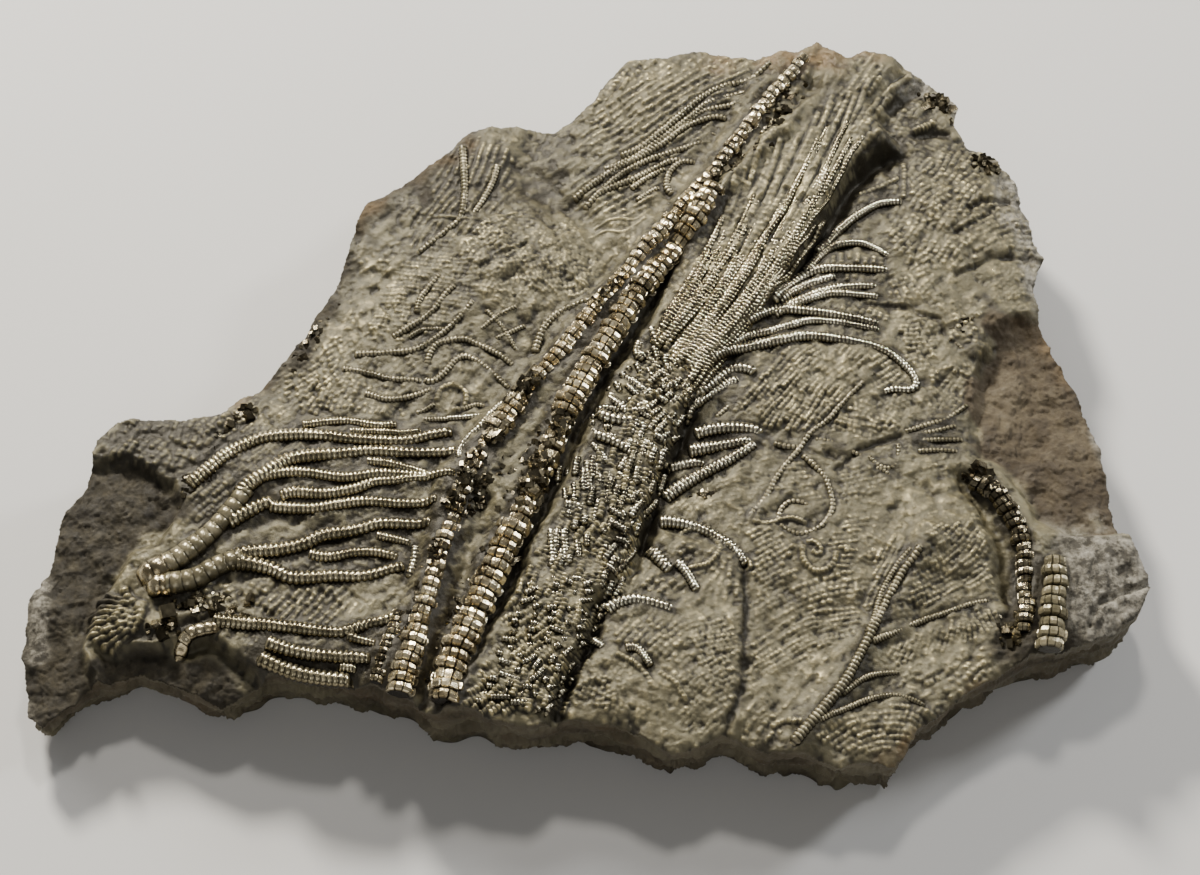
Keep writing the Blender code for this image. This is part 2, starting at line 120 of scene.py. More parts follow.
# Jointed stalks: width at the first point, width at the last, joint pitch, rise of the axis, route
STALKS = {
    "left": (5.0, 2.8, 1.75, 0.2, [(-29.6, -57.5), (-28.6, -53), (-27.3, -48), (-26, -42), (-24.5, -36),
        (-23.2, -30.5)]),
    "left middle": (4.2, 3.8, 1.7, -0.5, [(-23.2, -30.5), (-21.8, -25), (-20, -19.5), (-17.3, -14),
        (-14.6, -9.6)]),
    "left glint": (4.4, 4.0, 1.45, 0.6, [(-15.2, -10.6), (-13, -7.2), (-10.8, -4)]),
    "left upper": (3.6, 3.2, 1.55, -0.3, [(-10.8, -4), (-9.5, -1.5), (-6.5, 2.5), (-3, 7), (0, 11.5),
        (3, 15.5), (6, 19.5), (9, 24)]),
    "left top": (3.2, 2.4, 1.5, 0.5, [(9, 24), (12, 27.5), (15, 31.5), (18.5, 36), (22, 40.5), (25, 45.5),
        (28, 50), (31, 54.5), (34, 58.5), (36.5, 62), (38.3, 64.6)]),
    "right low": (5.8, 5.0, 1.9, 0.5, [(-22.5, -59.5), (-21.8, -55), (-20.5, -50), (-18.5, -45),
        (-16.7, -40), (-14.8, -35.5), (-13, -31), (-11.4, -27.5)]),
    "right middle": (4.6, 4.6, 1.7, 0.0, [(-11.4, -27.5), (-8.8, -21), (-7, -16), (-5, -10.5),
        (-3.9, -7.5)]),
    "right high": (5.2, 4.2, 1.6, 0.5, [(-3.9, -7.5), (-3, -5), (-0.5, 0), (2.3, 5), (5.2, 10), (8, 15),
        (11, 20), (14.5, 25), (17.5, 29), (20, 33), (22, 36.5)]),
    "small curved": (3.8, 2.9, 1.5, 0.2, [(63.5, -17.8), (66.5, -20), (69.3, -24.5), (70.9, -30), (71, -34),
        (70.6, -40), (70, -46)]),
    "small straight": (4.0, 5.2, 1.9, 0.3, [(75.6, -33), (75.4, -37), (75, -41), (74.5, -45),
        (73.8, -49.5)]),
    "second left row": (2.4, 2.6, 1.25, 0.0, [(-33.4, -55.5), (-32.3, -51), (-31, -46.5), (-30, -42.5)]),
}

# Arms of the left animal: width at the first point, width at the last, route
LEFT_ARMS = [
    (3.4, 2.2, [(-71.5, -35.5), (-67, -33), (-64, -30.5), (-61, -27.5), (-59.5, -25.5), (-57, -22),
        (-54.5, -18.2)]),
    (2.4, 1.5, [(-58, -22.6), (-55.5, -19.5), (-52, -17), (-49, -15), (-45, -14.3), (-40, -13.8),
        (-36, -13.3), (-30, -13.5), (-20.6, -13.2)]),
    (2.3, 2.0, [(-59.5, -26.8), (-55, -24), (-52, -22.5), (-50.5, -22)]),
    (2.0, 1.3, [(-51, -22), (-48, -21), (-43, -21.2), (-38, -20.3), (-35, -19), (-31.5, -18.6),
        (-29, -18.2), (-25, -17.9)]),
    (2.0, 1.4, [(-52.5, -22.8), (-51, -23.5), (-45, -23.8), (-40, -23), (-36, -22.5), (-30, -22.8),
        (-23.6, -22.6)]),
    (1.9, 1.3, [(-56.4, -20.6), (-53.5, -18.3), (-50, -17.5), (-46, -17.5), (-40, -18.3), (-34, -17.5),
        (-28, -17.6), (-22, -18.2), (-20.8, -18)]),
    (1.5, 1.1, [(-37, -15.2), (-33, -15.5), (-28, -16.7), (-25.5, -17.5)]),
    (2.2, 1.6, [(-66, -20), (-63, -17), (-60, -14), (-57, -12), (-54, -10.5), (-50, -10), (-45, -10),
        (-40, -10.8), (-35, -11.2), (-30, -11.2), (-26, -10), (-21.5, -9)]),
    (1.5, 1.1, [(-48, -8), (-44, -7.5), (-40, -7.2), (-35, -8), (-31, -7.8)]),
    (1.3, 1.0, [(-40, -9.3), (-35, -9.3), (-30, -9.5), (-27, -8.8)]),
    (3.4, 2.7, [(-71, -36.5), (-67, -37), (-63, -36), (-60, -34), (-56, -32.5), (-53, -32)]),
    (2.4, 1.6, [(-60, -33.6), (-57.5, -32.4), (-55, -31.5), (-50, -31), (-46, -30), (-43, -28.5),
        (-39, -27.8), (-36, -27), (-34, -26.3), (-30, -26.3), (-26, -26.5), (-24.4, -26.4)]),
    (1.8, 1.3, [(-46, -31.6), (-42, -32.3), (-38, -31.5), (-34, -31.5), (-30, -32.5)]),
    (1.5, 1.1, [(-35, -28.2), (-33, -28.6), (-30, -29.3), (-28, -30)]),
    (2.6, 1.6, [(-60.5, -34), (-57.5, -33.4), (-55, -33.5), (-51, -34.5), (-48, -36), (-44, -36),
        (-41, -35.7), (-36, -35.7), (-32, -34.5), (-29.4, -33.8), (-28.6, -33.4)]),
    (2.2, 1.6, [(-61, -43.6), (-55, -44.5), (-50, -45), (-45, -45.8), (-40, -46.3), (-38, -45.8),
        (-35, -44.5), (-31, -43.5), (-29.4, -43.1)]),
    (1.5, 1.2, [(-39, -46.6), (-36, -47.5), (-33, -48)]),
    (2.2, 1.7, [(-52, -47.6), (-47, -49.5), (-42, -50.3), (-36, -50.5), (-33.5, -50.6)]),
    (1.5, 1.3, [(-40, -52), (-36, -52.3)]),
    (2.4, 2.0, [(-53, -50), (-50, -51.5), (-46, -53), (-41, -53.9), (-36.5, -54.2)]),
]

# The cup of the left animal and the stub below it
CUP_ARMS = [
    (4.3, 3.9, [(-74.5, -37.4), (-72, -36), (-69.5, -34.5), (-66.5, -32.6), (-64.5, -31)]),
    (4.3, 3.7, [(-73.5, -38), (-71, -37.4), (-67.5, -37.2), (-64, -36.6)]),
    (2.5, 2.3, [(-65.6, -50), (-65.3, -48.2), (-64.2, -46.4), (-62.2, -45.4), (-59.5, -44.9),
        (-57, -44.6)]),
]

# Arms and cirri between the stalks and the left rim
MIDDLE_LEFT_ARMS = [
    (1.2, 0.8, [(-22, 48), (-21.5, 42), (-21.3, 36), (-22, 32), (-24, 30), (-28, 26.5), (-30, 25)]),
    (1.0, 0.8, [(-15.5, 44), (-17, 38), (-20, 32)]),
    (1.1, 0.8, [(-33.5, 8.5), (-30, 11), (-26.5, 13.5), (-24, 17), (-22, 19)]),
    (1.0, 0.7, [(-29, 13), (-28.5, 16), (-27, 18.5), (-24.5, 21.5)]),
    (1.1, 0.8, [(-40, 6), (-34, 6), (-29, 6.5), (-25, 9), (-21, 13), (-19, 16)]),
    (1.0, 0.8, [(-27, 3), (-26.5, 5.5), (-25, 7.5), (-21, 8.3), (-19, 7.5), (-15, 5.5), (-12, 3)]),
    (1.0, 0.8, [(-28, 1), (-26, 0.3), (-24, 2), (-22, 4.5), (-20, 5), (-17, 3), (-14, 0), (-12.5, -1.5)]),
    (0.8, 0.7, [(-18.5, 9.5), (-15, 12.5), (-11.5, 14.5)]),
    (0.8, 0.7, [(-16, 8), (-12, 10), (-10, 11)]),
    (0.8, 0.7, [(-17.5, 14), (-14.5, 10.5), (-11.5, 5.5)]),
    (0.8, 0.6, [(-30.7, 8.6), (-27.9, 10.2), (-23.6, 10.2)]),
    (0.8, 0.6, [(-21.3, -5), (-18.5, -4), (-16.6, -4.5)]),
    (1.0, 0.8, [(-42, 3.5), (-36, 2), (-33, 1), (-27, 0.5)]),
    (1.0, 0.8, [(-38, -1.5), (-33, -3), (-28, -2), (-25, -0.5)]),
    (0.8, 0.6, [(-28, -7), (-24, -6.8), (-20, -6.4), (-17.5, -6.4)]),
    (0.8, 0.6, [(-29, -6), (-27, -5), (-25, -3.5)]),
    (1.2, 0.9, [(-9, 5), (-8.3, 8), (-7, 11), (-4.5, 13.5), (-1.5, 14.6), (1.5, 14.5)]),
]

# Upper arms that run to the left of the long stalk
UPPER_ARMS = [
    (1.3, 0.8, [(5, 44.5), (9, 46.5), (13, 50), (17, 54), (20, 57), (24, 59.5), (29, 61), (33, 64)]),
    (1.2, 0.8, [(6, 43), (10, 46), (14, 49.5), (18, 53), (21, 55.8), (25, 57.5), (28.5, 58)]),
    (1.2, 0.8, [(2, 42), (6, 43.5), (11, 47), (16, 50.5), (20, 54), (27, 56)]),
    (1.2, 0.8, [(-3, 36), (1, 39.5), (5, 42.5), (9, 44.8), (13, 47.5), (17, 50.8), (22, 53), (25, 52.5)]),
    (1.1, 0.8, [(-1, 34), (2, 37.5), (6, 41.5), (11, 44.5), (17, 46.8), (21, 48.5)]),
    (1.1, 0.8, [(1, 37), (5, 39), (9, 41), (14, 44), (17, 44.5)]),
    (0.9, 0.7, [(7, 38), (10, 40.5), (14, 43)]),
    (0.9, 0.7, [(8, 35.5), (11, 38), (13, 39)]),
    (1.1, 0.7, [(15, 36.8), (13.7, 39), (14.3, 42), (16.5, 44), (19.5, 43.7)]),
    (1.0, 0.8, [(21.5, 49), (22.5, 50.5)]),
]

# Arms of the right fan and the field below it
RIGHT_ARMS = [
    (1.7, 1.2, [(31, 15), (34, 19), (37, 21.5), (41, 22.5), (46, 22.5), (52, 22)]),
    (1.7, 1.1, [(32, 15.5), (35, 18), (38, 19.5), (43, 21.3)]),
    (1.7, 1.1, [(31, 13), (37, 16.5), (42, 18.5), (46, 19), (50, 19)]),
    (1.5, 1.0, [(33, 14.5), (38, 16.5), (42, 17.5), (48, 17), (50, 16.5)]),
    (1.8, 1.2, [(26, 10.5), (30, 13.5), (33, 14.3), (36.5, 14), (42, 13.2), (47, 12), (50, 11)]),
    (1.6, 1.0, [(23, 6), (27, 9), (31, 10), (34, 11), (38, 12), (43, 11.5), (50, 10)]),
    (2.0, 1.0, [(20, 3), (24, 6), (28, 7), (32, 8), (37, 8.8), (43, 8), (48, 7), (51, 5.5), (54, 2.5),
        (55, 0), (54, -1.2), (51, -1.2), (48.7, -2)]),
    (1.8, 1.6, [(18, -3), (21, 0), (24, 2.5), (27, 2.5), (28.5, 1)]),
    (1.6, 1.3, [(17, -5), (20, -2.5), (23, -0.5), (26, 1)]),
    (1.0, 0.8, [(21, -7), (24, -4), (27, -1.5)]),
    (2.0, 1.5, [(17, -10), (20, -9), (24, -8.5), (28, -9), (29, -10.5)]),
    (2.0, 1.3, [(16, -13), (20, -12.3), (24, -11.5), (28, -10.5)]),
    (1.7, 1.1, [(13, -16), (18, -15), (20, -15.5)]),
    (2.0, 1.4, [(12, -22), (16, -19), (20, -16.5), (25, -13.5), (28.5, -10.8)]),
    (1.3, 1.0, [(30, -11), (33, -12), (36, -12)]),
    (1.9, 1.2, [(11, -26), (14, -26), (18, -27), (21, -28.5), (24, -31), (26, -34.5)]),
    (2.0, 1.6, [(9.5, -30.5), (11.5, -33), (14, -36)]),
    (1.6, 1.2, [(14, -33), (16, -35.5), (18, -39.5)]),
    (2.0, 1.3, [(2.5, -43), (5, -41.3), (8, -40.5), (12, -41.5), (14.5, -42.5)]),
    (1.4, 1.0, [(0.5, -46.5), (3, -49.5)]),
    (1.4, 1.0, [(5.5, -49.5), (8, -49.5), (10.5, -53)]),
    (1.5, 1.1, [(39, 26), (44, 31), (48, 34), (51, 35.5), (55, 35.5)]),
    (1.4, 1.0, [(37, 22), (40, 25.5), (43, 27.3), (47, 27.5), (50, 26), (52, 24.5)]),
    (1.2, 0.9, [(35, -13), (37, -15), (39, -17.5), (40, -21), (40, -24), (38, -27), (34.5, -28.3),
        (31.5, -26.5), (31.6, -24), (33.2, -22.3), (35.6, -22.6), (36.8, -24.4)]),
    (1.2, 0.9, [(26, -25.5), (29, -22), (31, -18), (33, -15), (35, -12.5), (37, -9.5), (40, -7), (42, -4.5),
        (47, 1), (49, 2.5)]),
    (1.0, 0.8, [(37, -10.5), (40, -11), (43, -12.5), (46, -14)]),
    (1.1, 0.8, [(46, -13), (47.5, -15), (49.5, -16), (51, -15), (51.5, -12.5), (51.3, -10.5)]),
    (1.0, 0.8, [(47, -15.5), (49, -16.5), (50.3, -18)]),
    (1.1, 0.8, [(52, -9.5), (56, -8), (60, -6.5), (64, -3.5)]),
    (1.0, 0.8, [(54, -9.8), (58, -8.9), (62, -7.8)]),
    (1.0, 0.8, [(53, -11), (58, -10.6), (63, -10.6)]),
    (1.0, 0.8, [(54, -12.8), (58, -12.6), (62, -12.9)]),
    (1.0, 0.8, [(67, 17), (69, 15), (71, 13)]),
    (0.9, 0.7, [(61.5, 8.5), (64, 6), (66, 5.2)]),
]

# The branched arm at the lower right
LOWER_RIGHT_ARMS = [
    (2.0, 1.3, [(32, -65.5), (35, -62), (38, -58.5), (41, -54.5), (44, -49), (46.5, -44), (48.5, -40),
        (51, -35.5), (53, -33), (54.5, -30.5)]),
    (1.4, 1.0, [(44.5, -47), (46, -44), (47.5, -39), (50, -34.5), (53, -31)]),
    (1.4, 0.9, [(45, -48), (50, -45.5), (54, -43.5), (58, -42), (62, -40.5), (65.5, -39.8)]),
    (1.3, 0.9, [(40, -57), (43, -54.5), (46, -53), (50.5, -52.5)]),
    (1.3, 0.9, [(36, -61.5), (40, -59.5), (44, -57.5), (48, -56.5), (51, -57), (54, -58.5)]),
]

# Guide lines of the crown, from its left side to its right
CROWN_GUIDES = [
    [(9.5, 5), (14, 13), (17, 19), (20, 25), (22.5, 31), (24.5, 36), (26, 41)],
    [(10.5, 2), (13, 7), (17, 13), (20.5, 19.5), (24, 26), (27, 33), (30, 40), (31.5, 46)],
    [(12, 0), (16, 6), (20.5, 12.5), (24.5, 19.5), (28.5, 27), (32, 34), (35, 41), (39, 51)],
    [(13.5, -2), (16, 1.5), (19, 5), (24, 12), (28, 18.5), (32, 26.5), (36, 35), (40, 45), (44.5, 58)],
    [(15, -4), (17, -1), (19.5, 3), (25, 10), (30, 17), (34.5, 25), (39, 33), (44, 43), (53.5, 62)],
    [(15.5, -7), (17, -4.5), (19, -0.5), (25, 7.5), (31, 15.5), (36, 23), (41, 31.5), (46, 40.5),
        (54.5, 46)],
]


def smooth_step(amount):
    amount = np.clip(amount, 0.0, 1.0)
    return amount * amount * (3.0 - 2.0 * amount)


def distance_to(x, y, route, closed=False):
    """Distance from a plan point, or from many, to a route of straight pieces."""
    points = np.array(route, float)
    starts = points if closed else points[:-1]
    ends = np.roll(points, -1, axis=0) if closed else points[1:]
    nearest = np.full(np.shape(x), 1e9)
    for (ax, ay), (bx, by) in zip(starts, ends):
        dx, dy = bx - ax, by - ay
        along = np.clip(((x - ax) * dx + (y - ay) * dy) / (dx * dx + dy * dy), 0.0, 1.0)
        nearest = np.minimum(nearest, np.hypot(x - ax - along * dx, y - ay - along * dy))
    return nearest


def is_inside(x, y, outline):
    points = np.array(outline, float)
    inside = np.zeros(np.shape(x), bool)
    for (ax, ay), (bx, by) in zip(points, np.roll(points, -1, axis=0)):
        if ay == by:
            continue
        spans = (ay > y) != (by > y)
        inside ^= spans & (x < (bx - ax) * (y - ay) / (by - ay) + ax)
    return inside


def soft_mask(x, y, outline, soft):
    """One inside the outline, nothing outside it, with a soft edge."""
    depth = distance_to(x, y, outline, closed=True)
    depth = np.where(is_inside(x, y, outline), depth, -depth)
    return smooth_step(0.5 + depth / soft)


def face_height(x, y):
    """Height of the fossil face above the underside, without its fine relief."""
    x = np.asarray(x, float)
    y = np.asarray(y, float)
    x, y = x + 0.6 * noise(x, y, 3.5, 23) + 0.25 * noise(x, y, 1.2, 24), y + 0.6 * noise(x, y, 3.5, 25)
    z = np.full(x.shape, BASE_LEVEL)
    for outline, rise, soft in PLATEAUS.values():
        z += rise * soft_mask(x, y, outline, soft)
    for route, rise, half_width in BANKS.values():
        z += rise * np.exp(-(distance_to(x, y, route) / half_width) ** 2)
    for (cx, cy), (rx, ry), turn, rise in SWELLS.values():
        angle = math.radians(turn)
        u = ((x - cx) * math.cos(angle) + (y - cy) * math.sin(angle)) / rx
        v = ((y - cy) * math.cos(angle) - (x - cx) * math.sin(angle)) / ry
        z += rise * np.exp(-1.2 * (u * u + v * v))
    return z


def lattice(ix, iy, seed):
    """An even random number from -1 to 1 for each whole-number place."""
    mixed = (ix * 374761393 + iy * 668265263 + seed * 974634777) & 0xFFFFFFFF
    mixed = ((mixed ^ (mixed >> 13)) * 1274126177) & 0xFFFFFFFF
    return ((mixed ^ (mixed >> 16)) & 0xFFFF) / 32767.5 - 1.0


def noise(x, y, size, seed=0):
    """Smooth noise from -1 to 1 with lumps of the given size."""
    u, v = np.asarray(x, float) / size, np.asarray(y, float) / size
    iu, iv = np.floor(u).astype(np.int64), np.floor(v).astype(np.int64)
    fu, fv = smooth_step(u - iu), smooth_step(v - iv)
    low = lattice(iu, iv, seed) * (1 - fu) + lattice(iu + 1, iv, seed) * fu
    high = lattice(iu, iv + 1, seed) * (1 - fu) + lattice(iu + 1, iv + 1, seed) * fu
    return low * (1 - fv) + high * fv


def rough(x, y, size, rounds, seed=0):
    """Noise on several scales, each half as large and half as strong."""
    total = np.zeros(np.shape(x))
    for k in range(rounds):
        turn = 0.6 + k
        u = x * math.cos(turn) + y * math.sin(turn)
        v = y * math.cos(turn) - x * math.sin(turn)
        total = total + noise(u, v, size / 2 ** k, seed + 7 * k) / 2 ** k
    return total


def smoothed(values, rounds):
    for _ in range(rounds):
        inner = 0.25 * values[:-2] + 0.5 * values[1:-1] + 0.25 * values[2:]
        values = np.concatenate([values[:1], inner, values[-1:]])
    return values


class Curve:
    """A smooth plan curve through a route's points, read by its travelled length."""

    def __init__(self, route):
        points = np.array(route, float)
        padded = np.vstack([2 * points[0] - points[1], points, 2 * points[-1] - points[-2]])
        dense = []
        for p0, p1, p2, p3 in zip(padded, padded[1:], padded[2:], padded[3:]):
            t = np.linspace(0.0, 1.0, 14, endpoint=False)[:, None]
            dense.append(0.5 * (2 * p1 + (p2 - p0) * t + (2 * p0 - 5 * p1 + 4 * p2 - p3) * t ** 2
                                + (3 * p1 - p0 - 3 * p2 + p3) * t ** 3))
        self.points = np.vstack(dense + [points[-1:]])
        steps = np.linalg.norm(np.diff(self.points, axis=0), axis=1)
        self.travel = np.concatenate([[0.0], np.cumsum(steps)])
        self.length = self.travel[-1]

    def at(self, travel):
        x = np.interp(travel, self.travel, self.points[:, 0])
        y = np.interp(travel, self.travel, self.points[:, 1])
        return np.stack([x, y], axis=1)

    def frame(self, travel):
        """Places along the curve and the direction to its left at each of them."""
        ahead = self.at(np.minimum(travel + 0.2, self.length))
        behind = self.at(np.maximum(travel - 0.2, 0.0))
        heading = (ahead - behind) / (np.linalg.norm(ahead - behind, axis=1, keepdims=True) + 1e-9)
        return self.at(travel), np.stack([-heading[:, 1], heading[:, 0]], axis=1)


def blurred(grid, reach):
    """The grid with each cell replaced by the mean of the square around it."""
    for axis in (0, 1):
        margins = [(reach + 1, reach) if k == axis else (0, 0) for k in (0, 1)]
        total = np.cumsum(np.pad(grid, margins, "edge"), axis)
        span = 2 * reach + 1
        far = np.take(total, np.arange(span, total.shape[axis]), axis)
        near = np.take(total, np.arange(0, total.shape[axis] - span), axis)
        grid = (far - near) / span
    return grid


class Relief:
    """A fine plan grid of the low relief that stands on the face."""

    STEP = 0.13
    LEFT, FRONT = -HALF_WIDTH, -HALF_DEPTH
    # Cells around a place: two for the shade painted beside bold strands, one for the level they stand out
    # of
    SHADE_REACHES = (6, 19)
    LEVEL_REACH = 5

    def __init__(self):
        shape = (int(2 * HALF_DEPTH / self.STEP), int(2 * HALF_WIDTH / self.STEP))
        self.rise = np.zeros(shape)
        self.strand_shade = np.zeros(shape)
        self.near = np.zeros(shape, bool)
        self.filled = np.zeros(shape, bool)

    def cells(self, x, y):
        row = np.clip(np.rint((y - self.FRONT) / self.STEP).astype(int), 0, self.rise.shape[0] - 1)
        column = np.clip(np.rint((x - self.LEFT) / self.STEP).astype(int), 0, self.rise.shape[1] - 1)
        return row, column

    def around(self, curve, reach):
        """Grid cells near a curve, with the travel and the offset of each."""
        travel = np.arange(0.0, curve.length + 0.05, 0.65 * self.STEP)
        across = np.arange(-reach, reach + 0.05, 0.65 * self.STEP)
        path, side = curve.frame(travel)
        x = path[:, 0:1] + side[:, 0:1] * across
        y = path[:, 1:2] + side[:, 1:2] * across
        return travel[:, None], across[None, :], self.cells(x, y)

    def block(self, curve, near, filled):
        """Keeps new strands from starting near a curve, or from crossing it."""
        self.near[self.around(curve, near)[2]] = True
        self.filled[self.around(curve, filled)[2]] = True

    def press(self, curve, width, rise, pitch, notch, base=0.0):
        """Raises a jointed strand out of the ground."""
        travel, across, cells = self.around(curve, 0.5 * width)
        ends = smooth_step(np.minimum(travel, curve.length - travel) / (0.6 * width) + 0.25)
        uneven = 1.0 + 0.28 * lattice(np.floor(travel / pitch).astype(int), int(1000 * curve.length), 3)
        joints = uneven * (1.0 - notch * np.abs(np.cos(math.pi * travel / pitch)) ** 3)
        profile = np.sqrt(np.clip(1.0 - (2.0 * across / width) ** 2, 0.0, 1.0))
        np.maximum.at(self.rise, cells, (base + rise * joints) * ends * profile)

    def fade(self):
        """Wears the strands down in some places and all of them in the smooth ones."""
        rows, columns = self.rise.shape
        x, y = np.meshgrid(self.LEFT + self.STEP * np.arange(columns),
                           self.FRONT + self.STEP * np.arange(rows))
        left = 0.35 + 0.75 * smooth_step(0.6 + 0.6 * rough(x, y, 9.0, 3, 41))
        for cx, cy, reach in SMOOTH_SPOTS:
            left *= 1.0 - 0.9 * np.exp(-((x - cx) ** 2 + (y - cy) ** 2) / reach ** 2)
        self.rise *= left

    def at(self, x, y):
        """Rise at places on the face, how far each stands out, and how near to a bold strand it is, which
        sets the shade painted beside it.
        """
        u, v = (x - self.LEFT) / self.STEP, (y - self.FRONT) / self.STEP
        column = np.clip(u.astype(int), 0, self.rise.shape[1] - 2)
        row = np.clip(v.astype(int), 0, self.rise.shape[0] - 2)
        fu, fv = np.clip(u - column, 0, 1), np.clip(v - row, 0, 1)
        found = []
        close, wide = (blurred(self.strand_shade, reach) for reach in self.SHADE_REACHES)
        stand = self.rise - blurred(self.rise, self.LEVEL_REACH)
        for grid in (self.rise, stand, 0.6 * close + 0.7 * wide):
            low = grid[row, column] * (1 - fu) + grid[row, column + 1] * fu
            high = grid[row + 1, column] * (1 - fu) + grid[row + 1, column + 1] * fu
            found.append(low * (1 - fv) + high * fv)
        return found


class Strands(NamedTuple):
    """How a region is covered; arrows are a place and the strands' direction there in degrees."""

    outline: list
    arrows: list
    gap: float
    width: float
    pitch: float
    length: tuple
    stray: float
    rise: float = 0.38
    notch: float = 0.6
    base: float = 0.05


class Patch:
    """A region of the face with the directions that its strands follow."""

    STEP = 0.5
    TRACE_STEP = 0.35
    # Shares of the gap in which no strand starts, and which no strand enters
    START_SHARE = 0.82
    TOUCH_SHARE = 0.45
    # Distance along a strand between the starts of its neighbours
    START_STEP = 2.2

    def __init__(self, values, seed):
        self.values = values
        corners = np.array(values.outline, float)
        self.low, self.high = corners.min(axis=0) - 1.0, corners.max(axis=0) + 1.0
        x, y = np.meshgrid(np.arange(self.low[0], self.high[0] + 1.0, self.STEP),
                           np.arange(self.low[1], self.high[1] + 1.0, self.STEP))
        bend = 1.2 * noise(x, y, 3.5, seed + 9)
        self.inside = is_inside(x + bend, y + bend, values.outline)
        cosine, sine = np.zeros(x.shape), np.zeros(x.shape)
        for ax, ay, degrees in values.arrows:
            weight = 1.0 / ((x - ax) ** 2 + (y - ay) ** 2 + 3.0)
            cosine += weight * math.cos(math.radians(2 * degrees))
            sine += weight * math.sin(math.radians(2 * degrees))
        turn = math.radians(values.stray) * rough(x, y, 5.0, 2, seed)
        self.angle = 0.5 * np.arctan2(sine, cosine) + turn

    def look(self, grid, x, y):
        row = min(max(int((y - self.low[1]) / self.STEP + 0.5), 0), grid.shape[0] - 1)
        column = min(max(int((x - self.low[0]) / self.STEP + 0.5), 0), grid.shape[1] - 1)
        return grid[row, column]

    def trace(self, relief, start, reach):
        """A route both ways from its start, until it would touch another strand."""
        step = self.TRACE_STEP
        sides = []
        for way in (1.0, -1.0):
            x, y = start
            angle = self.look(self.angle, x, y) + (0.0 if way > 0 else math.pi)
            side = []
            while len(side) * step < 0.5 * reach:
                x += step * math.cos(angle)
                y += step * math.sin(angle)
                if relief.filled[relief.cells(x, y)] or not self.look(self.inside, x, y):
                    break
                side.append((x, y))
                fresh = self.look(self.angle, x, y)
                angle = fresh + math.pi * round((angle - fresh) / math.pi)
            sides.append(side)
        return sides[1][::-1] + [start] + sides[0]

    def fill(self, relief, rng, lay):
        """Lays strands side by side until the region is covered."""
        values = self.values
        gap = values.gap
        shortest, longest = values.length
        number = int(1.5 * np.prod(self.high - self.low) / gap ** 2)
        tries = rng.uniform(self.low, self.high, (number, 2))
        for start in tries:
            waiting = [tuple(start)]
            while waiting:
                x, y = waiting.pop(0)
                if not self.look(self.inside, x, y) or relief.near[relief.cells(x, y)]:
                    continue
                route = self.trace(relief, (x, y), rng.uniform(shortest, longest))
                if (len(route) - 1) * self.TRACE_STEP < shortest:
                    continue
                curve = Curve(route[::3] + route[-1:] if (len(route) - 1) % 3 else route[::3])
                relief.block(curve, self.START_SHARE * gap, self.TOUCH_SHARE * gap)
                lay(curve, values.width * rng.uniform(0.9, 1.15), values.rise * rng.uniform(0.7, 1.2),
                    values.pitch * rng.uniform(0.95, 1.05), values.notch, rng.uniform(0.0, values.base))
                marks = np.arange(0.3, curve.length, self.START_STEP)
                path, side = curve.frame(marks)
                waiting.extend(map(tuple, np.concatenate([path + side * gap, path - side * gap])))


def bold_strands():
    """Routes and mean widths of the strands that are bodies of their own."""
    for arms in (LEFT_ARMS, MIDDLE_LEFT_ARMS, UPPER_ARMS, RIGHT_ARMS, LOWER_RIGHT_ARMS, INNER_ARMS):
        for first, last, route in arms:
            yield Curve(route), 0.5 * (first + last)
    for first, last, _, _, route in STALKS.values():
        yield Curve(route), 0.5 * (first + last)


RIDGE_NOTCH = 0.6
# Fine ribbons of the upper crown: number, share of its length from and to, sway
FINE_RIBBONS = (27, 0.42, 1.0, 0.6)
# Each of them: width, rise, bead pitch, notch
FINE_RIBBON = (1.0, 0.5, 1.1, 0.25)


def pinnule_relief():
    """All the low relief: rows of pinnules between the bolder arms."""
    relief = Relief()
    rng = np.random.default_rng(7)
    for curve, width in bold_strands():
        relief.block(curve, 0.55 * width, 0.5 * width)
        # Marks the bold strands, beside which shade is painted on the stone
        relief.strand_shade[relief.around(curve, 0.6 * width)[2]] = 1.0
    ridges = [(Curve(route), width, rise, pitch, RIDGE_NOTCH) for width, rise, pitch, route in RIDGES]
    ridges += [(curve, *FINE_RIBBON) for curve in crown_lines(rng, *FINE_RIBBONS)]
    for curve, width, *_ in ridges:
        relief.block(curve, 0.6 * width, 0.5 * width)
    for number, values in enumerate(PATCHES):
        Patch(values, 100 + 10 * number).fill(relief, rng, relief.press)
    relief.fade()
    for ridge in ridges:
        relief.press(*ridge)
    folds = Relief()
    Patch(PATCHES[-1]._replace(**FOLDS), 700).fill(folds, rng, folds.press)
    bed = Relief()
    for number, values in enumerate(SHAGGY_BED):
        Patch(values, 900 + 10 * number).fill(bed, rng, bed.press)
    relief.rise = np.maximum(relief.rise + blurred(folds.rise, 4), bed.rise)
    return relief


def shaggy_combs(material):
    """Loose combs over the bed of the lower crown."""
    rng = np.random.default_rng(8)
    batch = Batch()

    def lay(curve, width, rise, pitch, notch, base):
        add_strand(batch, curve, width, width * 0.8, pitch, lift=(0.35 + base) / width, upper=5,
                   seed=int(rng.integers(10 ** 6)), tall=0.85, flank_shade=-0.2)

    for number, values in enumerate(SHAGGY_COMBS):
        Patch(values, 950 + 10 * number).fill(Relief(), rng, lay)
    return batch.piece("shaggy_combs", material)


# Corners of each face of a box, its corners counted with z fastest
BOX_FACES = ((0, 1, 3, 2), (4, 6, 7, 5), (0, 4, 5, 1), (2, 3, 7, 6), (0, 2, 6, 4), (1, 5, 7, 3))


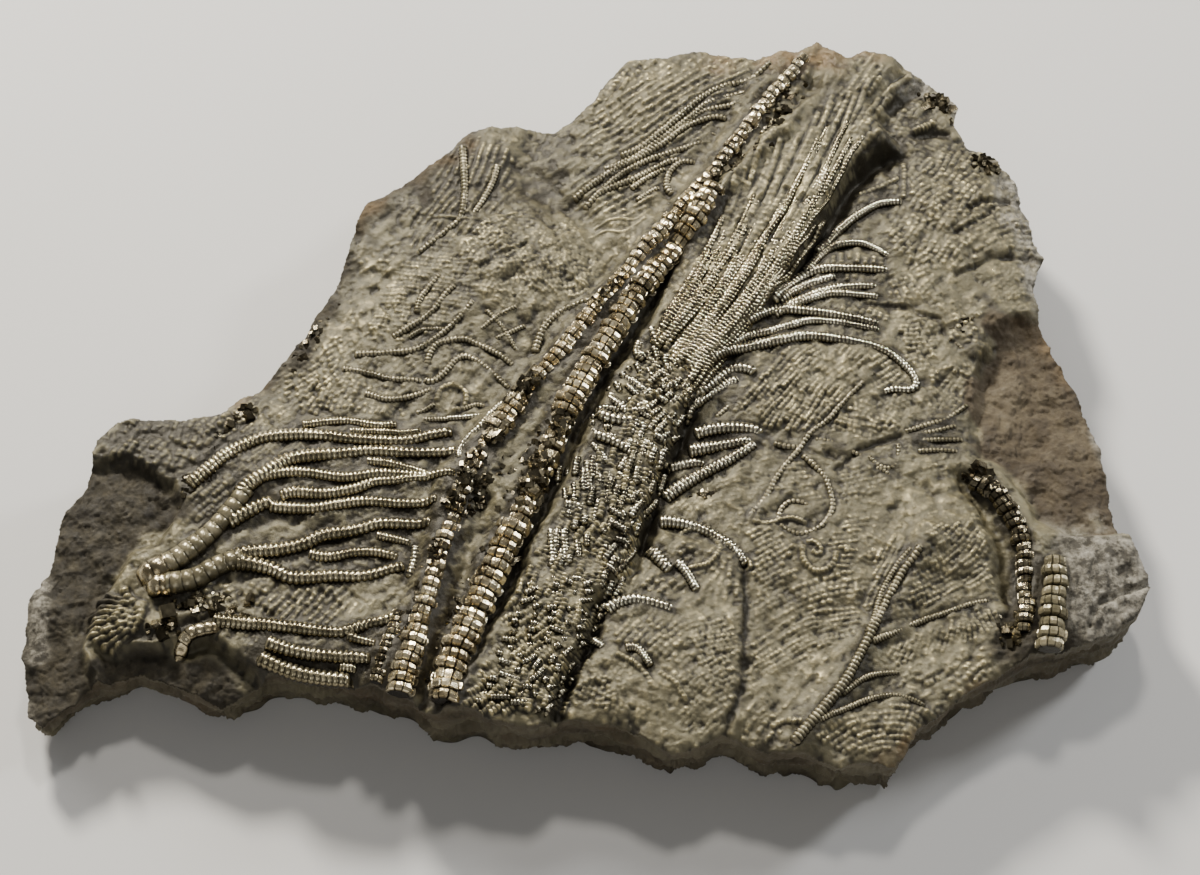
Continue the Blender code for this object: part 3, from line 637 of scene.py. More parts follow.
class Batch:
    """Many closed bodies that become one mesh; their crest value, 1 on high places and 0 in seams, also
    carries painted shade and painted highlight.
    """

    def __init__(self):
        self.points = []
        self.quads = []
        self.triangles = []
        self.crest_and_shade = []
        self.count = 0

    def add_rings(self, rings, crest_and_shade):
        """A closed tube from rings of points, with flat ends."""
        length, around = rings.shape[:2]
        index = self.count + np.arange(length * around).reshape(length, around)
        nxt = np.roll(index, -1, axis=1)
        self.quads.append(np.stack([index[:-1], nxt[:-1], nxt[1:], index[1:]], axis=-1).reshape(-1, 4))
        fan = np.arange(1, around - 1)
        first = np.stack([np.full(len(fan), index[0, 0]), index[0, fan + 1], index[0, fan]], axis=1)
        last = np.stack([np.full(len(fan), index[-1, 0]), index[-1, fan], index[-1, fan + 1]], axis=1)
        self.triangles.extend([first, last])
        self.points.append(rings.reshape(-1, 3))
        self.crest_and_shade.append(crest_and_shade.reshape(-1))
        self.count += length * around

    def add_block(self, centre, size, turn, crest_and_shade):
        """A box turned about three axes."""
        halves = (-0.5, 0.5)
        corners = np.array([(x, y, z) for x in halves for y in halves for z in halves]) * size
        self.points.append(corners @ np.array(Euler(turn).to_matrix()).T + centre)
        self.quads.append(np.array(BOX_FACES) + self.count)
        self.crest_and_shade.append(np.full(8, crest_and_shade))
        self.count += 8

    def piece(self, name, material, smooth=True):
        mesh = bpy.data.meshes.new(name)
        faces = [face for block in self.quads + self.triangles for face in block.tolist()]
        mesh.from_pydata((np.vstack(self.points) * MM).tolist(), [], faces)
        set_attribute(mesh, "crest_and_shade", np.concatenate(self.crest_and_shade))
        return finish_piece(name, mesh, material, smooth)


def set_attribute(mesh, name, values):
    layer = mesh.attributes.new(name, "FLOAT", "POINT")
    layer.data.foreach_set("value", np.asarray(values, np.float32))


def finish_piece(name, mesh, material, smooth=True):
    """Links a piece that stands for the slab, with its material."""
    mesh.polygons.foreach_set("use_smooth", [smooth] * len(mesh.polygons))
    mesh.materials.append(material)
    mesh.update()
    obj = bpy.data.objects.new(name, mesh)
    bpy.context.scene.collection.objects.link(obj)
    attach(obj, "root")
    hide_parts("fossil_slab")
    return obj


# Patches of fine pinnules, the whole face last
PATCHES = [
    Strands([(-38, 9), (-34, 22), (-25, 29), (-19, 23), (-18, 15), (-24, 10.5), (-31, 8)], [(-30, 18, -12),
        (-22, 13, -14)], 0.82, 0.69, 0.8, (1.6, 6), 8),
    Strands([(-56, -6), (-57, 0), (-50, 8), (-44, 14), (-38, 9), (-28, 5), (-28, -1), (-30, -6)],
        [(-50, 4, 60), (-35, -2, 52)], 0.99, 0.74, 0.9, (0.9, 3), 30),
    Strands([(-48, 10), (-44, 20), (-40, 33), (-35, 38), (-30, 30), (-36, 18), (-40, 10)], [(-44, 16, 45)],
        1.63, 0.83, 1.1, (1.2, 3), 35),
    Strands([(-25, 18), (-19, 30), (-9, 37), (0, 31), (4, 24), (-1, 16), (-8, 14), (-16, 15)],
        [(-14, 28, 60), (-8, 31, 85), (-3, 22, -10), (-10, 18, 40)], 0.73, 0.78, 0.75, (1.0, 4.5), 42),
    Strands([(-36, 27), (-31, 40), (-22, 50), (-13, 47), (-12, 37), (-17, 29), (-25, 26)], [(-26, 32, 50),
        (-17, 33, 48), (-21, 43, 84), (-30, 38, 60)], 1.29, 0.64, 1.0, (2.5, 10), 10),
    Strands([(-56, -38.5), (-48, -37.8), (-38, -37.4), (-33, -39), (-36, -43.2), (-42, -44.5),
        (-52, -43.2)], [(-45, -41, 52)], 1.29, 0.64, 0.9, (1.5, 6), 7),
    Strands([(-80, -14), (-76, -6.5), (-62, -6.5), (-55, -2), (-56, -8.5), (-62, -12), (-68, -17)],
        [(-76, -11, 70), (-66, -11, 62), (-60, -6, 50)], 1.29, 0.92, 1.0, (1.2, 4), 22),
    Strands([(-70, -28), (-66, -22), (-60, -17), (-57, -20), (-62, -26), (-67, -31)], [(-64, -23, 48)], 1.2,
        0.92, 0.9, (2, 8), 12),
    Strands([(-66, -38), (-60, -36), (-52, -37), (-48, -39), (-54, -43), (-64, -43)], [(-58, -39, 30)],
        1.29, 0.92, 1.0, (1.2, 4), 40),
    Strands([(-9, 36), (-3, 46), (3, 57), (14, 63), (30, 65), (26, 58), (22, 49), (18, 45), (10, 34),
        (2, 31)], [(0, 40, 42), (12, 52, 38), (22, 58, 30), (8, 45, 33)], 1.29, 0.6, 0.9, (1.5, 7), 9),
    Strands([(1, 56), (7, 66), (22, 68), (34, 66), (30, 62), (16, 59), (6, 54)], [(12, 62, 40)], 1.55, 0.83,
        1.1, (0.9, 2.6), 30),
    Strands([(12, 16.5), (17, 24), (22, 32), (27, 42), (31, 51), (35, 53), (31, 45), (26, 37), (21, 29),
        (17, 22), (14.5, 15.5)], [(15, 20, -62), (22, 34, -66), (30, 48, -60)], 0.82, 0.83, 0.8, (1.5, 5),
        12),
    Strands([(28, 50), (35, 62), (40, 67), (43, 66), (38, 58), (33, 52)], [(35, 58, 30)], 1.03, 1.01, 1.0,
        (0.9, 2.5), 60),
    Strands([(37, 50), (44, 62), (50, 66), (54, 63), (48, 54), (42, 47)], [(45, 58, 57)], 1.29, 0.64, 1.0,
        (2.5, 9), 6),
    Strands([(52, 47), (56, 57), (62, 60), (65, 55), (63, 48), (58, 45)], [(57, 52, 55), (61, 50, 40)],
        1.12, 1.1, 1.0, (1.2, 5), 20),
    Strands([(24, -6), (29, 2), (34, 6.5), (48, 6.5), (53, 3.5), (53, 0), (46, -1.5), (41, -4.5), (36, -10),
        (29, -9.5)], [(34, -3, 55), (44, 2, 42)], 0.95, 0.74, 0.8, (1.5, 7), 9),
    Strands([(42, -5), (47, -2), (56, -2.5), (63, 4), (66, -1), (62, -5.5), (54, -8), (46, -10.5),
        (40, -9)], [(50, -4.5, -38), (44, -8, -12), (60, 0, 60)], 0.86, 0.78, 0.9, (1.0, 5), 12),
    Strands([(34, -13.5), (38, -17), (39.4, -21), (38.5, -25), (36.5, -22), (33.5, -21.4), (30, -21)],
        [(35, -18, 9)], 0.86, 0.78, 0.95, (2, 8), 3),
    Strands([(40, -17), (45, -14.5), (51, -17.5), (60, -14), (61, -17), (56, -20.5), (47, -22),
        (41, -22.5)], [(47, -18, 12), (57, -16.5, 14)], 0.9, 0.78, 0.9, (1.5, 6), 8),
    Strands([(26, -26.5), (31, -27.5), (35, -29), (35, -36), (41, -36.5), (46, -39), (38, -41), (26.5, -45),
        (26.3, -34)], [(28, -33, 33), (34, -33, 28), (31, -41, 30), (42, -38, 6)], 0.93, 0.87, 1.1, (3, 14),
        3),
    Strands([(26.2, -45), (38, -41), (46, -40), (43, -46), (37, -49), (30, -54), (25.8, -57), (26, -50)],
        [(27, -48, 42), (33, -45, 26), (40, -43, 4), (28, -54, 36)], 0.86, 0.74, 0.85, (3, 12), 5),
    Strands([(39, -30), (42, -25), (47, -24), (44, -30), (43, -36), (40, -36.5)], [(42, -32, 10)], 0.9,
        0.69, 0.9, (1.5, 5), 6),
    Strands([(50, 14.8), (51, 20), (56, 22), (60.5, 18), (60.5, 12.5), (57, 13.8)], [(55, 17, -62)], 0.82,
        0.78, 1.1, (1.2, 4), 12),
    Strands([(52, 4), (53.5, 13), (57, 12.5), (59.5, 10), (58, 3), (55, 1)], [(56, 8, 8)], 0.86, 0.78, 0.9,
        (1.0, 4), 10),
    Strands([(60.5, 7), (61, 14), (66, 15), (67.5, 9), (64, 6)], [(64, 11, 45)], 0.95, 0.87, 0.9,
        (0.9, 2.5), 60),
    Strands([(57, -3), (57, 3), (64, 4), (65.5, -2)], [(60, 1, 20)], 0.95, 0.83, 0.9, (0.9, 2.5), 50),
    Strands([(40, 12.2), (50, 9.5), (52, 13.5), (44, 15.6)], [(45, 13, 70)], 1.03, 0.74, 0.8, (0.9, 2), 14),
    Strands([(44, 20), (52, 23), (50, 26), (44, 26.5), (40, 24.5)], [(46, 24, 86)], 1.38, 0.69, 0.8,
        (1.0, 3.5), 10),
    Strands([(47, 36), (54, 45), (62, 47), (66, 49), (73, 43), (75, 36), (66, 33), (58, 26), (52, 24),
        (52, 34)], [(58, 38, 50), (66, 40, 62), (72, 39, 85), (55, 29, 60)], 1.12, 0.87, 0.95, (1.0, 4),
        26),
    Strands([(53, 24), (60, 30), (68, 34.5), (76, 34), (77, 26), (70, 25.5), (62, 20), (57, 21)],
        [(60, 25, 40), (68, 29, 32), (74, 30, 15)], 1.07, 0.83, 0.95, (1.0, 4), 24),
    Strands([(15, -44.5), (24.2, -43), (24.3, -52), (23.5, -58), (20, -63), (14, -62), (15, -55),
        (18, -50)], [(21, -48, 22), (20, -54, 32), (18, -60, 50)], 0.86, 0.78, 0.85, (1.2, 6), 12),
    Strands([(3, -45), (8, -43), (15, -43.5), (18, -47), (17, -54), (13, -57), (9, -50), (4, -49)],
        [(10, -47, 48)], 1.03, 0.87, 1.15, (1.2, 6), 8),
    Strands([(-3, -55), (4, -53.5), (12, -57), (14, -62), (8, -62), (0, -59)], [(2, -56, 70), (9, -60, 60)],
        0.86, 0.83, 0.9, (1.0, 3.5), 28),
    Strands([(8, -37), (16, -30), (24, -29.5), (24.5, -40), (16, -42), (9, -39.5)], [(16, -34, 35),
        (21, -38, 80)], 1.29, 0.78, 0.9, (1.0, 3), 30),
    Strands([(53, -31), (57, -27), (64, -26), (66.5, -33), (65, -37.5), (58, -40), (50.5, -42)],
        [(57, -34, 33), (63, -30, 55), (60, -37, 24)], 0.86, 0.69, 0.85, (2, 8), 5),
    Strands([(44, -41), (46, -34), (50, -28), (53, -28), (50, -34), (47, -40), (45, -44)], [(48, -34, 62)],
        0.82, 0.64, 0.8, (2, 8), 5),
    Strands([(46.5, -49.5), (52, -46.3), (60, -42.8), (66, -41.3), (68, -46), (58, -48.5), (50, -51.5)],
        [(51, -48, 60), (58, -45, 72), (64, -43, -58)], 0.82, 0.64, 0.75, (1.5, 5), 6),
    Strands([(42, -56), (50, -54), (58, -49.5), (67, -48), (64, -53), (57, -57.5), (48, -55.2)],
        [(55, -53, 30)], 1.29, 0.83, 1.0, (1.0, 3.5), 25),
    Strands([(35, -63.5), (42, -59.5), (50, -58.3), (56, -60), (50, -65.5), (40, -67)], [(40, -62, 38),
        (48, -61, 5), (53, -61, -30)], 0.99, 0.83, 0.9, (1.5, 7), 8),
    Strands([(26, -58), (33, -52), (39, -50), (37, -57), (31, -64), (24, -65)], [(31, -57, 55)], 1.72, 0.69,
        0.9, (1.0, 3.5), 22),
    Strands([(-86, -30), (-76, -10), (-56, -3), (-40, 36), (-14, 50), (2, 62), (40, 66), (62, 57), (74, 40),
        (76, 14), (62, 2), (64, -14), (66, -40), (66, -50), (50, -64), (22, -62), (0, -59), (-30, -56),
        (-52, -50), (-72, -40)], [(-60, -12, 45), (-40, 10, 35), (-25, 35, 60), (0, 40, 45), (20, 58, 38),
        (60, 40, 50), (64, 26, 40), (50, 8, 45), (40, -8, -10), (30, -16, 30), (20, -22, 40), (45, -30, 10),
        (58, -20, 5), (60, -50, 45), (35, -58, 40), (10, -45, 45), (-40, -33, 12), (-40, -20, -4),
        (-40, -42, 50), (-5, -20, 62), (-15, -20, 50)], 0.85, 0.62, 0.7, (0.6, 2.0), 45, rise=0.1),
]
# Low folds of the whole face, which follow the same directions
FOLDS = dict(gap=2.3, width=2.8, pitch=9.0, length=(4.0, 15.0), stray=28, rise=0.55, notch=0.2)
# Spots that are worn smooth: place and reach
SMOOTH_SPOTS = [
    (56, -20, 4), (53, -21, 3), (63.5, 18.5, 4), (38, 52, 3), (42, 58, 4), (46, 62, 3), (-37, 19, 4),
    (-39, 31, 4), (-6, 34, 3.5), (-8, 41, 4), (-5, 48, 4), (-2, -19, 3), (30, -55, 4.5), (34, -60, 3),
    (-36, -39, 2.5), (-52, -26, 3), (-37, 31, 5), (-43, 20, 4), (-31, 40, 4), (-47, 12, 3), (60, -20, 3),
    (66, -33, 2), (1, 28, 3), (22, 28, 2), (50, -22, 3), (-30, -57, 3),
]
# The bed of the shaggy lower crown
SHAGGY_BED = [
    Strands([(11, 5), (14, 7), (19, 0), (17, -7), (13, -17), (9.5, -27), (6, -38), (2.5, -43), (0.5, -50),
        (-4, -61), (-20, -61), (-16, -50), (-11, -38), (-6, -30), (-3, -22), (0, -16), (6, -6)],
        [(14, -3, 50), (9, -15, 62), (3, -24, 80), (6, -32, 60), (-2, -38, 66), (-8, -52, 62),
        (-6, -46, 30), (1, -18, 86), (-4, -29, 74)], 1.15, 1.25, 0.75, (1.6, 7), 30, rise=0.75, base=0.7,
        notch=0.85),
]
# Loose combs that lie over the bed, as strands of their own
SHAGGY_COMBS = [
    Strands([(12, 3), (17, 1), (18, -5), (14, -14), (10, -26), (6.5, -37), (4, -41), (0.5, -41), (2.5, -34),
        (3.5, -24), (5, -16), (8, -6)], [(15, -3, 52), (11, -13, 62), (7, -24, 70), (4, -34, 64)], 1.3, 1.7,
        0.66, (3.0, 9), 20, base=0.7),
    Strands([(9, -2), (17, -3), (14, -14), (10, -26), (6, -37), (3, -40), (2, -32), (3, -22), (6, -12)],
        [(13, -6, -38), (10, -18, -28), (7, -30, -20)], 1.9, 1.5, 0.6, (1.8, 4.5), 30, base=1.2),
    Strands([(-9, -37), (2.5, -37), (3.5, -42), (0, -50), (-5, -60.5), (-18.5, -60), (-14, -48)],
        [(0, -40, 12), (-8, -46, -6), (-13, -56, 16), (-4, -56, 60)], 1.3, 1.4, 0.6, (1.6, 5), 42,
        base=0.9),
    Strands([(2, -2), (12, 7), (16, 2), (12, -6), (6, -12), (0.5, -12), (-0.5, -8)], [(8, -2, -50),
        (5, -8, 0), (11, 3, -60)], 1.5, 1.5, 0.6, (2, 5), 38, base=0.7),
    Strands([(-5, -14), (3, -15), (5, -22), (2, -28), (-2, -36), (-7, -36), (-4.5, -26)], [(0, -20, 84),
        (-3, -30, 80)], 1.4, 1.6, 0.6, (2.5, 7), 16, base=0.6),
]
# Ridges and small forms pressed into the face: width, rise, bead pitch, route
RIDGES = [
    (0.55, 0.8, 1.9, [(-71, -40.3), (-75, -39.4), (-78, -38.7)]),
    (0.65, 0.9, 2.3, [(-71, -40.6), (-75, -40.2), (-79.5, -39.6)]),
    (0.6, 0.8, 1.7, [(-71, -40.9), (-75, -40.9), (-80.3, -40.8)]),
    (0.7, 1.0, 2.6, [(-71, -41.1), (-75, -41.6), (-80.9, -41.9)]),
    (0.6, 0.8, 1.9, [(-71, -41.4), (-75, -42.2), (-80, -42.9)]),
    (0.65, 1.0, 2.2, [(-71, -41.7), (-75, -42.8), (-81, -44)]),
    (0.6, 0.8, 1.8, [(-71, -42.1), (-75, -43.5), (-80, -44.9)]),
    (0.7, 1.0, 2.5, [(-71.2, -42.5), (-75.3, -44.2), (-80.6, -45.9)]),
    (0.6, 0.8, 1.6, [(-71.3, -42.9), (-75, -44.9), (-79.2, -46.6)]),
    (0.65, 0.9, 2.1, [(-71.5, -43.4), (-74.6, -45.5), (-78, -47.6)]),
    (0.6, 0.7, 1.7, [(-72, -44.4), (-74, -46), (-76.6, -48)]),
    (1.5, 1.0, 1.2, [(-75, -37.6), (-74, -39.4), (-72.5, -40.6), (-71, -41)]),
    (0.6, 0.35, 9.0, [(-27, 33), (-19, 31.5), (-12, 33)]),
    (0.5, 0.3, 9.0, [(0, 28.4), (3, 30), (6, 29.6), (10, 32.4)]),
    (0.5, 0.3, 9.0, [(1, 30.6), (4, 32), (8, 32.2), (11, 34.4)]),
    (1.0, 0.6, 0.9, [(29, -62), (31, -61), (34, -61.3)]),
    (0.9, 0.6, 0.8, [(4.6, -50.4), (7, -51.6), (9.4, -53.8), (10.4, -56)]),
    (0.9, 0.6, 0.8, [(11.4, -53.4), (14, -55.4), (15.8, -58.4)]),
    (0.9, 0.6, 0.7, [(15, -28), (18, -27.3), (21, -29.5), (21.5, -31.5), (19.5, -34), (16, -35)]),
    (0.8, 0.6, 0.7, [(22.5, -30), (24.5, -31.5), (26.5, -34), (24.5, -35)]),
    (0.8, 0.6, 0.7, [(27, -26), (30, -26.2), (33, -25.5), (36, -26.5)]),
    (1.0, 0.7, 0.7, [(35, -30.5), (35, -33), (36.5, -35), (38.5, -35), (40, -33.5), (40.5, -31.5)]),
    (0.8, 0.7, 0.7, [(35.5, -30), (37, -30), (38, -31.5), (37.3, -32.2), (36.4, -31.6)]),
    (0.9, 0.5, 0.8, [(46, 37.5), (50, 38.5), (54, 40.5)]),
    (0.9, 0.5, 0.8, [(55, 44), (54.8, 40), (54.5, 36)]),
    (1.4, 1.0, 0.7, [(57, 50.2), (59, 51.2), (61, 52.5)]),
    (1.1, 0.8, 9.0, [(52, 56.5), (55, 60.5), (57.5, 62.5)]),
    (0.9, 0.7, 0.7, [(-25.2, -3.4), (-24.4, -1.2), (-22.2, -0.4), (-20.4, -1.8), (-20.6, -4.4),
        (-22.6, -5.2)]),
]
# Broken crystals: centre, spread, turn of the spread in degrees, number, smallest and largest size
CRUSTS = [
    ((-60.5, -40.3), (6.0, 2.6), -12, 60, 0.6, 1.5),
    ((-67.5, -44.5), (3.0, 1.4), 10, 22, 0.6, 1.4),
    ((64.6, -17.2), (2.6, 1.6), -30, 34, 0.6, 1.7),
    ((-9.5, -17), (2.6, 9.0), -25, 120, 0.4, 1.2),
    ((-16.5, -19), (1.8, 9.0), -28, 80, 0.4, 1.1),
    ((-21.5, -43), (1.2, 12.0), -17, 60, 0.3, 0.9),
    ((-28.5, -45), (1.4, 12.0), -17, 60, 0.4, 1.1),
    ((33, 52), (2.4, 9.0), -28, 90, 0.4, 1.2),
    ((26, 42), (1.2, 7.0), -28, 40, 0.4, 1.0),
    ((15.5, 27.5), (1.4, 9.0), -32, 80, 0.4, 1.1),
    ((6, 12), (1.0, 10.0), -30, 50, 0.4, 1.0),
    ((20, -20.6), (3.4, 1.6), 12, 30, 0.3, 0.9),
    ((70, 43.4), (3.4, 2.2), -30, 40, 0.5, 1.3),
    ((62, 56.5), (4.0, 2.4), -45, 60, 0.5, 1.5),
    ((68, -45), (2.0, 2.6), 0, 36, 0.5, 1.3),
    ((-59.5, -7.5), (1.5, 6.0), -38, 50, 0.5, 1.4),
    ((-64.5, -19), (4.0, 2.2), 40, 30, 0.5, 1.3),
    ((63.5, 10.5), (2.6, 3.2), 0, 30, 0.4, 1.1),
    ((-47, 10), (2.0, 8.0), -30, 40, 0.4, 1.1),
    ((-46, 24), (1.6, 8.0), -20, 24, 0.4, 1.0),
]
# Broken crystals that lie on the stalks, and how far above the ground
STALK_CRUST_LIFT = 1.5
STALK_CRUSTS = [
    ((-7.6, -18.5), (1.9, 6.5), -24, 90, 0.5, 1.5),
    ((-4.6, -9.5), (1.8, 2.6), -24, 36, 0.5, 1.4),
    ((-20.2, -20), (1.5, 6.0), -20, 44, 0.4, 1.2),
    ((-15.6, -11.2), (1.8, 2.2), -30, 30, 0.5, 1.3),
    ((-10, -2.2), (1.8, 2.4), -35, 36, 0.4, 1.3),
    ((3.5, 16), (1.0, 5.0), -38, 26, 0.4, 0.9),
    ((21.5, 38.5), (1.2, 4.0), -38, 26, 0.4, 1.0),
    ((-24.2, -34), (1.6, 3.0), -20, 24, 0.4, 1.1),
    ((-14.5, -35), (2.2, 3.5), -25, 26, 0.4, 1.2),
    ((66.5, -20), (1.6, 1.8), 0, 16, 0.4, 1.1),
]
# The large cube beside the cup: centre in plan, size, turn
LARGE_CUBE = ((-67.4, -42.2), (2.3, 2.1, 2.4), (0.35, 0.2, 0.3))
# Smooth bright sticks beside the left stalk
STICKS = [
    (1.3, 1.1, [(-11.8, -1.8), (-12.5, -3), (-15, -6), (-17.5, -9), (-19.5, -11), (-21, -13.5),
        (-21, -16)]),
    (0.9, 0.8, [(-24, -6.6), (-22, -6.5), (-18.5, -6.2), (-16, -7)]),
]
# Bold arms between the tall stalk and the crown
INNER_ARMS = [
    (1.9, 1.6, [(1, -6), (3, -8), (6, -8.8), (9.5, -8.6)]),
    (1.7, 1.5, [(0, -11), (3, -12), (6, -13.6), (8, -15.5)]),
    (1.3, 1.1, [(3, -3.5), (5, -5.5), (7.5, -8)]),
    (1.2, 1.0, [(5, 0.5), (7, -1), (9.5, -2.8)]),
    (1.2, 1.0, [(8, 4.5), (10, 3.4), (12.5, 1.2)]),
    (1.1, 1.0, [(0.4, -12.5), (2, -14.6), (3.6, -17)]),
    (1.4, 1.2, [(-4.5, -24), (-2, -24.4), (0.3, -25.2)]),
    (1.3, 1.1, [(0, -15.5), (0.2, -19), (0.4, -23)]),
    (1.2, 1.1, [(1.6, -16), (1.8, -20), (2.4, -24)]),
    (1.2, 1.1, [(3.2, -17.5), (3.5, -20.5), (4.2, -23.5)]),
    (1.3, 1.1, [(-5.8, -28), (-5.6, -32), (-5.2, -36)]),
    (1.3, 1.1, [(-3.9, -28), (-3.6, -32), (-3.2, -36)]),
    (1.5, 1.3, [(10.5, 10), (11.5, 6.5), (12.8, 4)]),
    (1.2, 1.1, [(9, 7), (8.2, 4.5), (8.8, 2.5)]),
    (1.4, 1.2, [(-27.8, -29.5), (-28, -33), (-29, -36.8)]),
]


# Ring places along one joint, with the width there and how much of a crest it is
ARM_JOINT = ((0.0, 0.80, 0.0), (0.3, 0.98, 0.8), (0.68, 1.0, 1.0))
BASE_JOINT = ((0.0, 0.92, 0.0), (0.08, 0.99, 0.8), (0.5, 1.0, 1.0), (0.92, 0.99, 0.8))


def ring_angles(upper):
    """Angles of a ring's points, most of them on the side that shows."""
    return np.concatenate([np.linspace(math.radians(-32), math.radians(212), upper), [math.radians(270)]])


def add_strand(batch, curve, first_width, last_width, pitch, lift=0.16, joint=ARM_JOINT, upper=7, seed=0,
               wander=0.0, tall=1.0, tip=2.0, flank_shade=-0.1):
    """A jointed strand that lies along a curve on the face."""
    joints = max(3, int(round(curve.length / pitch)))
    places, widths, crests = (np.array(column) for column in zip(*joint))
    travel = ((np.arange(joints)[:, None] + places) * curve.length / joints).ravel()
    travel = np.append(travel, curve.length)
    shape = np.append(np.tile(widths, joints), widths[0])
    crest_and_shade = np.append(np.tile(crests, joints), crests[0])
    path = curve.at(travel)
    heading = np.gradient(path, axis=0)
    heading /= np.linalg.norm(heading, axis=1, keepdims=True) + 1e-9
    side = np.stack([-heading[:, 1], heading[:, 0]], axis=1)
    path = path + side * (wander * noise(travel, travel * 0, 6.0, seed))[:, None]
    share = travel / curve.length
    width = first_width + (last_width - first_width) * share
    width = width * shape * (1.0 + 0.07 * noise(travel, travel * 0 + 3.1, 2.5 * pitch, seed + 1))
    ends = np.minimum(travel, curve.length - travel) / (tip * pitch)
    width = width * (0.45 + 0.55 * smooth_step(ends + 0.15))
    ground = smoothed(face_height(path[:, 0], path[:, 1]), 8)
    height = ground + lift * width + 0.12 * noise(travel, travel * 0 + 9.7, 9.0, seed + 2)
    height -= 0.6 * max(first_width, last_width) * (1.0 - smooth_step(ends))
    angles = ring_angles(upper)
    across = 0.5 * width[:, None] * np.cos(angles)
    above = 0.5 * tall * width[:, None] * np.sin(angles)
    rings = np.empty((len(travel), len(angles), 3))
    rings[:, :, 0] = path[:, 0:1] + side[:, 0:1] * across
    rings[:, :, 1] = path[:, 1:2] + side[:, 1:2] * across
    rings[:, :, 2] = height[:, None] + above
    # The crest fades down each flank: a painted highlight on the strand's top, painted shade on its sides
    batch.add_rings(rings, crest_and_shade[:, None] * smooth_step(flank_shade + np.sin(angles)))


STALK_JOINT = ((0.0, 0.74, 0.0), (0.16, 0.97, 1.0), (0.52, 1.02, 1.0), (0.84, 0.97, 1.0))
# The plates of a stalk: their middle angles, and the turn and depth of each plate's points
FACETS = (-18, 18, 54, 90, 126, 162, 198)
SEAM_TURN = -18.0
PLATE_HALF = 13.5
PLATE_POINTS = ((SEAM_TURN, 0.80), (-PLATE_HALF, 0.985), (0.0, 0.965), (PLATE_HALF, 0.985))
# Points on the hidden underside, in degrees, and their depth
HIDDEN_ANGLES = (216, 270)
HIDDEN_DEPTH = 0.8


def add_stalk(batch, curve, first_width, last_width, pitch, rise, mess, seed):
    """A stalk of discs with flat plates on their upper side, each disc set a little off the last."""
    rng = np.random.default_rng(seed)
    joints = int(round(curve.length / pitch))
    places, widths, crests = (np.array(column) for column in zip(*STALK_JOINT))
    travel = ((np.arange(joints)[:, None] + places) * curve.length / joints).ravel()
    travel = np.append(travel, curve.length)
    disc = np.minimum((travel / curve.length * joints + 1e-6).astype(int), joints - 1)
    shape = np.append(np.tile(widths, joints), widths[0])
    crest_and_shade = np.append(np.tile(crests, joints), 0.0)
    size = 1.0 + rng.uniform(-0.08, 0.08, joints) + np.where(np.arange(joints) % 2, 0.07, -0.06)
    # A random brightness for each plate: a painted glint that differs from plate to plate
    plate_glint = rng.uniform(0.7, 1.0, (joints, len(FACETS)))
    offset = rng.uniform(-mess, mess, (joints, 2))
    plate = 1.0 + rng.uniform(-0.05, 0.05, (joints, len(FACETS))) - mess * rng.random((joints, len(FACETS)))
    tilt = rng.uniform(-0.05, 0.05, (joints, len(FACETS)))
    skew = rng.uniform(-0.5, 0.5, joints) * mess
    path, side = curve.frame(travel)
    width = (first_width + (last_width - first_width) * travel / curve.length) * shape * size[disc]
    ground = smoothed(face_height(path[:, 0], path[:, 1]), 30)
    angles, radii, shine = [], [], []
    for number, centre in enumerate(FACETS):
        for turn, depth in PLATE_POINTS:
            in_seam = turn == SEAM_TURN
            size_there = 1.0 if in_seam else plate[disc, number] + tilt[disc, number] * turn / PLATE_HALF
            angles.append(math.radians(centre + turn))
            radii.append(depth * size_there)
            shine.append(np.where(in_seam, 0.05, plate_glint[disc, number]))
    for degrees in HIDDEN_ANGLES:
        angles.append(math.radians(degrees))
        radii.append(HIDDEN_DEPTH)
        shine.append(np.zeros(len(travel)))
    angles = np.array(angles)
    radii = np.stack([np.broadcast_to(r, travel.shape) for r in radii], axis=1)
    radius = 0.5 * width[:, None] * radii
    across = radius * np.cos(angles) + offset[disc, 0:1]
    above = 0.92 * radius * np.sin(angles) + offset[disc, 1:2]
    along = skew[disc, None] * across
    rings = np.empty((len(travel), len(angles), 3))
    rings[:, :, 0] = path[:, 0:1] + side[:, 0:1] * across + side[:, 1:2] * along
    rings[:, :, 1] = path[:, 1:2] + side[:, 1:2] * across - side[:, 0:1] * along
    rings[:, :, 2] = (ground + rise)[:, None] + above
    batch.add_rings(rings, crest_and_shade[:, None] * np.stack(shine, axis=1))


def stalks(name, members, material):
    """One piece from several stalks; their middle stretches are the most broken."""
    batch = Batch()
    for seed, member in enumerate(members):
        first, last, pitch, rise, route = STALKS[member]
        mess = 0.30 if member.endswith("middle") else 0.15
        add_stalk(batch, Curve(route), first, last, pitch, rise, mess, seed + 40)
    return batch.piece(name, material, smooth=False)


def arm_group(name, arms, pitch_share, material, swell=1.0, joint=ARM_JOINT):
    """One piece from several arms; the joint pitch is a share of each arm's mean width."""
    batch = Batch()
    for seed, (first, last, route) in enumerate(arms):
        pitch = pitch_share * 0.5 * (first + last)
        add_strand(batch, Curve(route), first * swell, last * swell, max(pitch, 0.5), lift=0.12,
                   joint=joint, seed=seed * 5 + 1)
    return batch.piece(name, material)


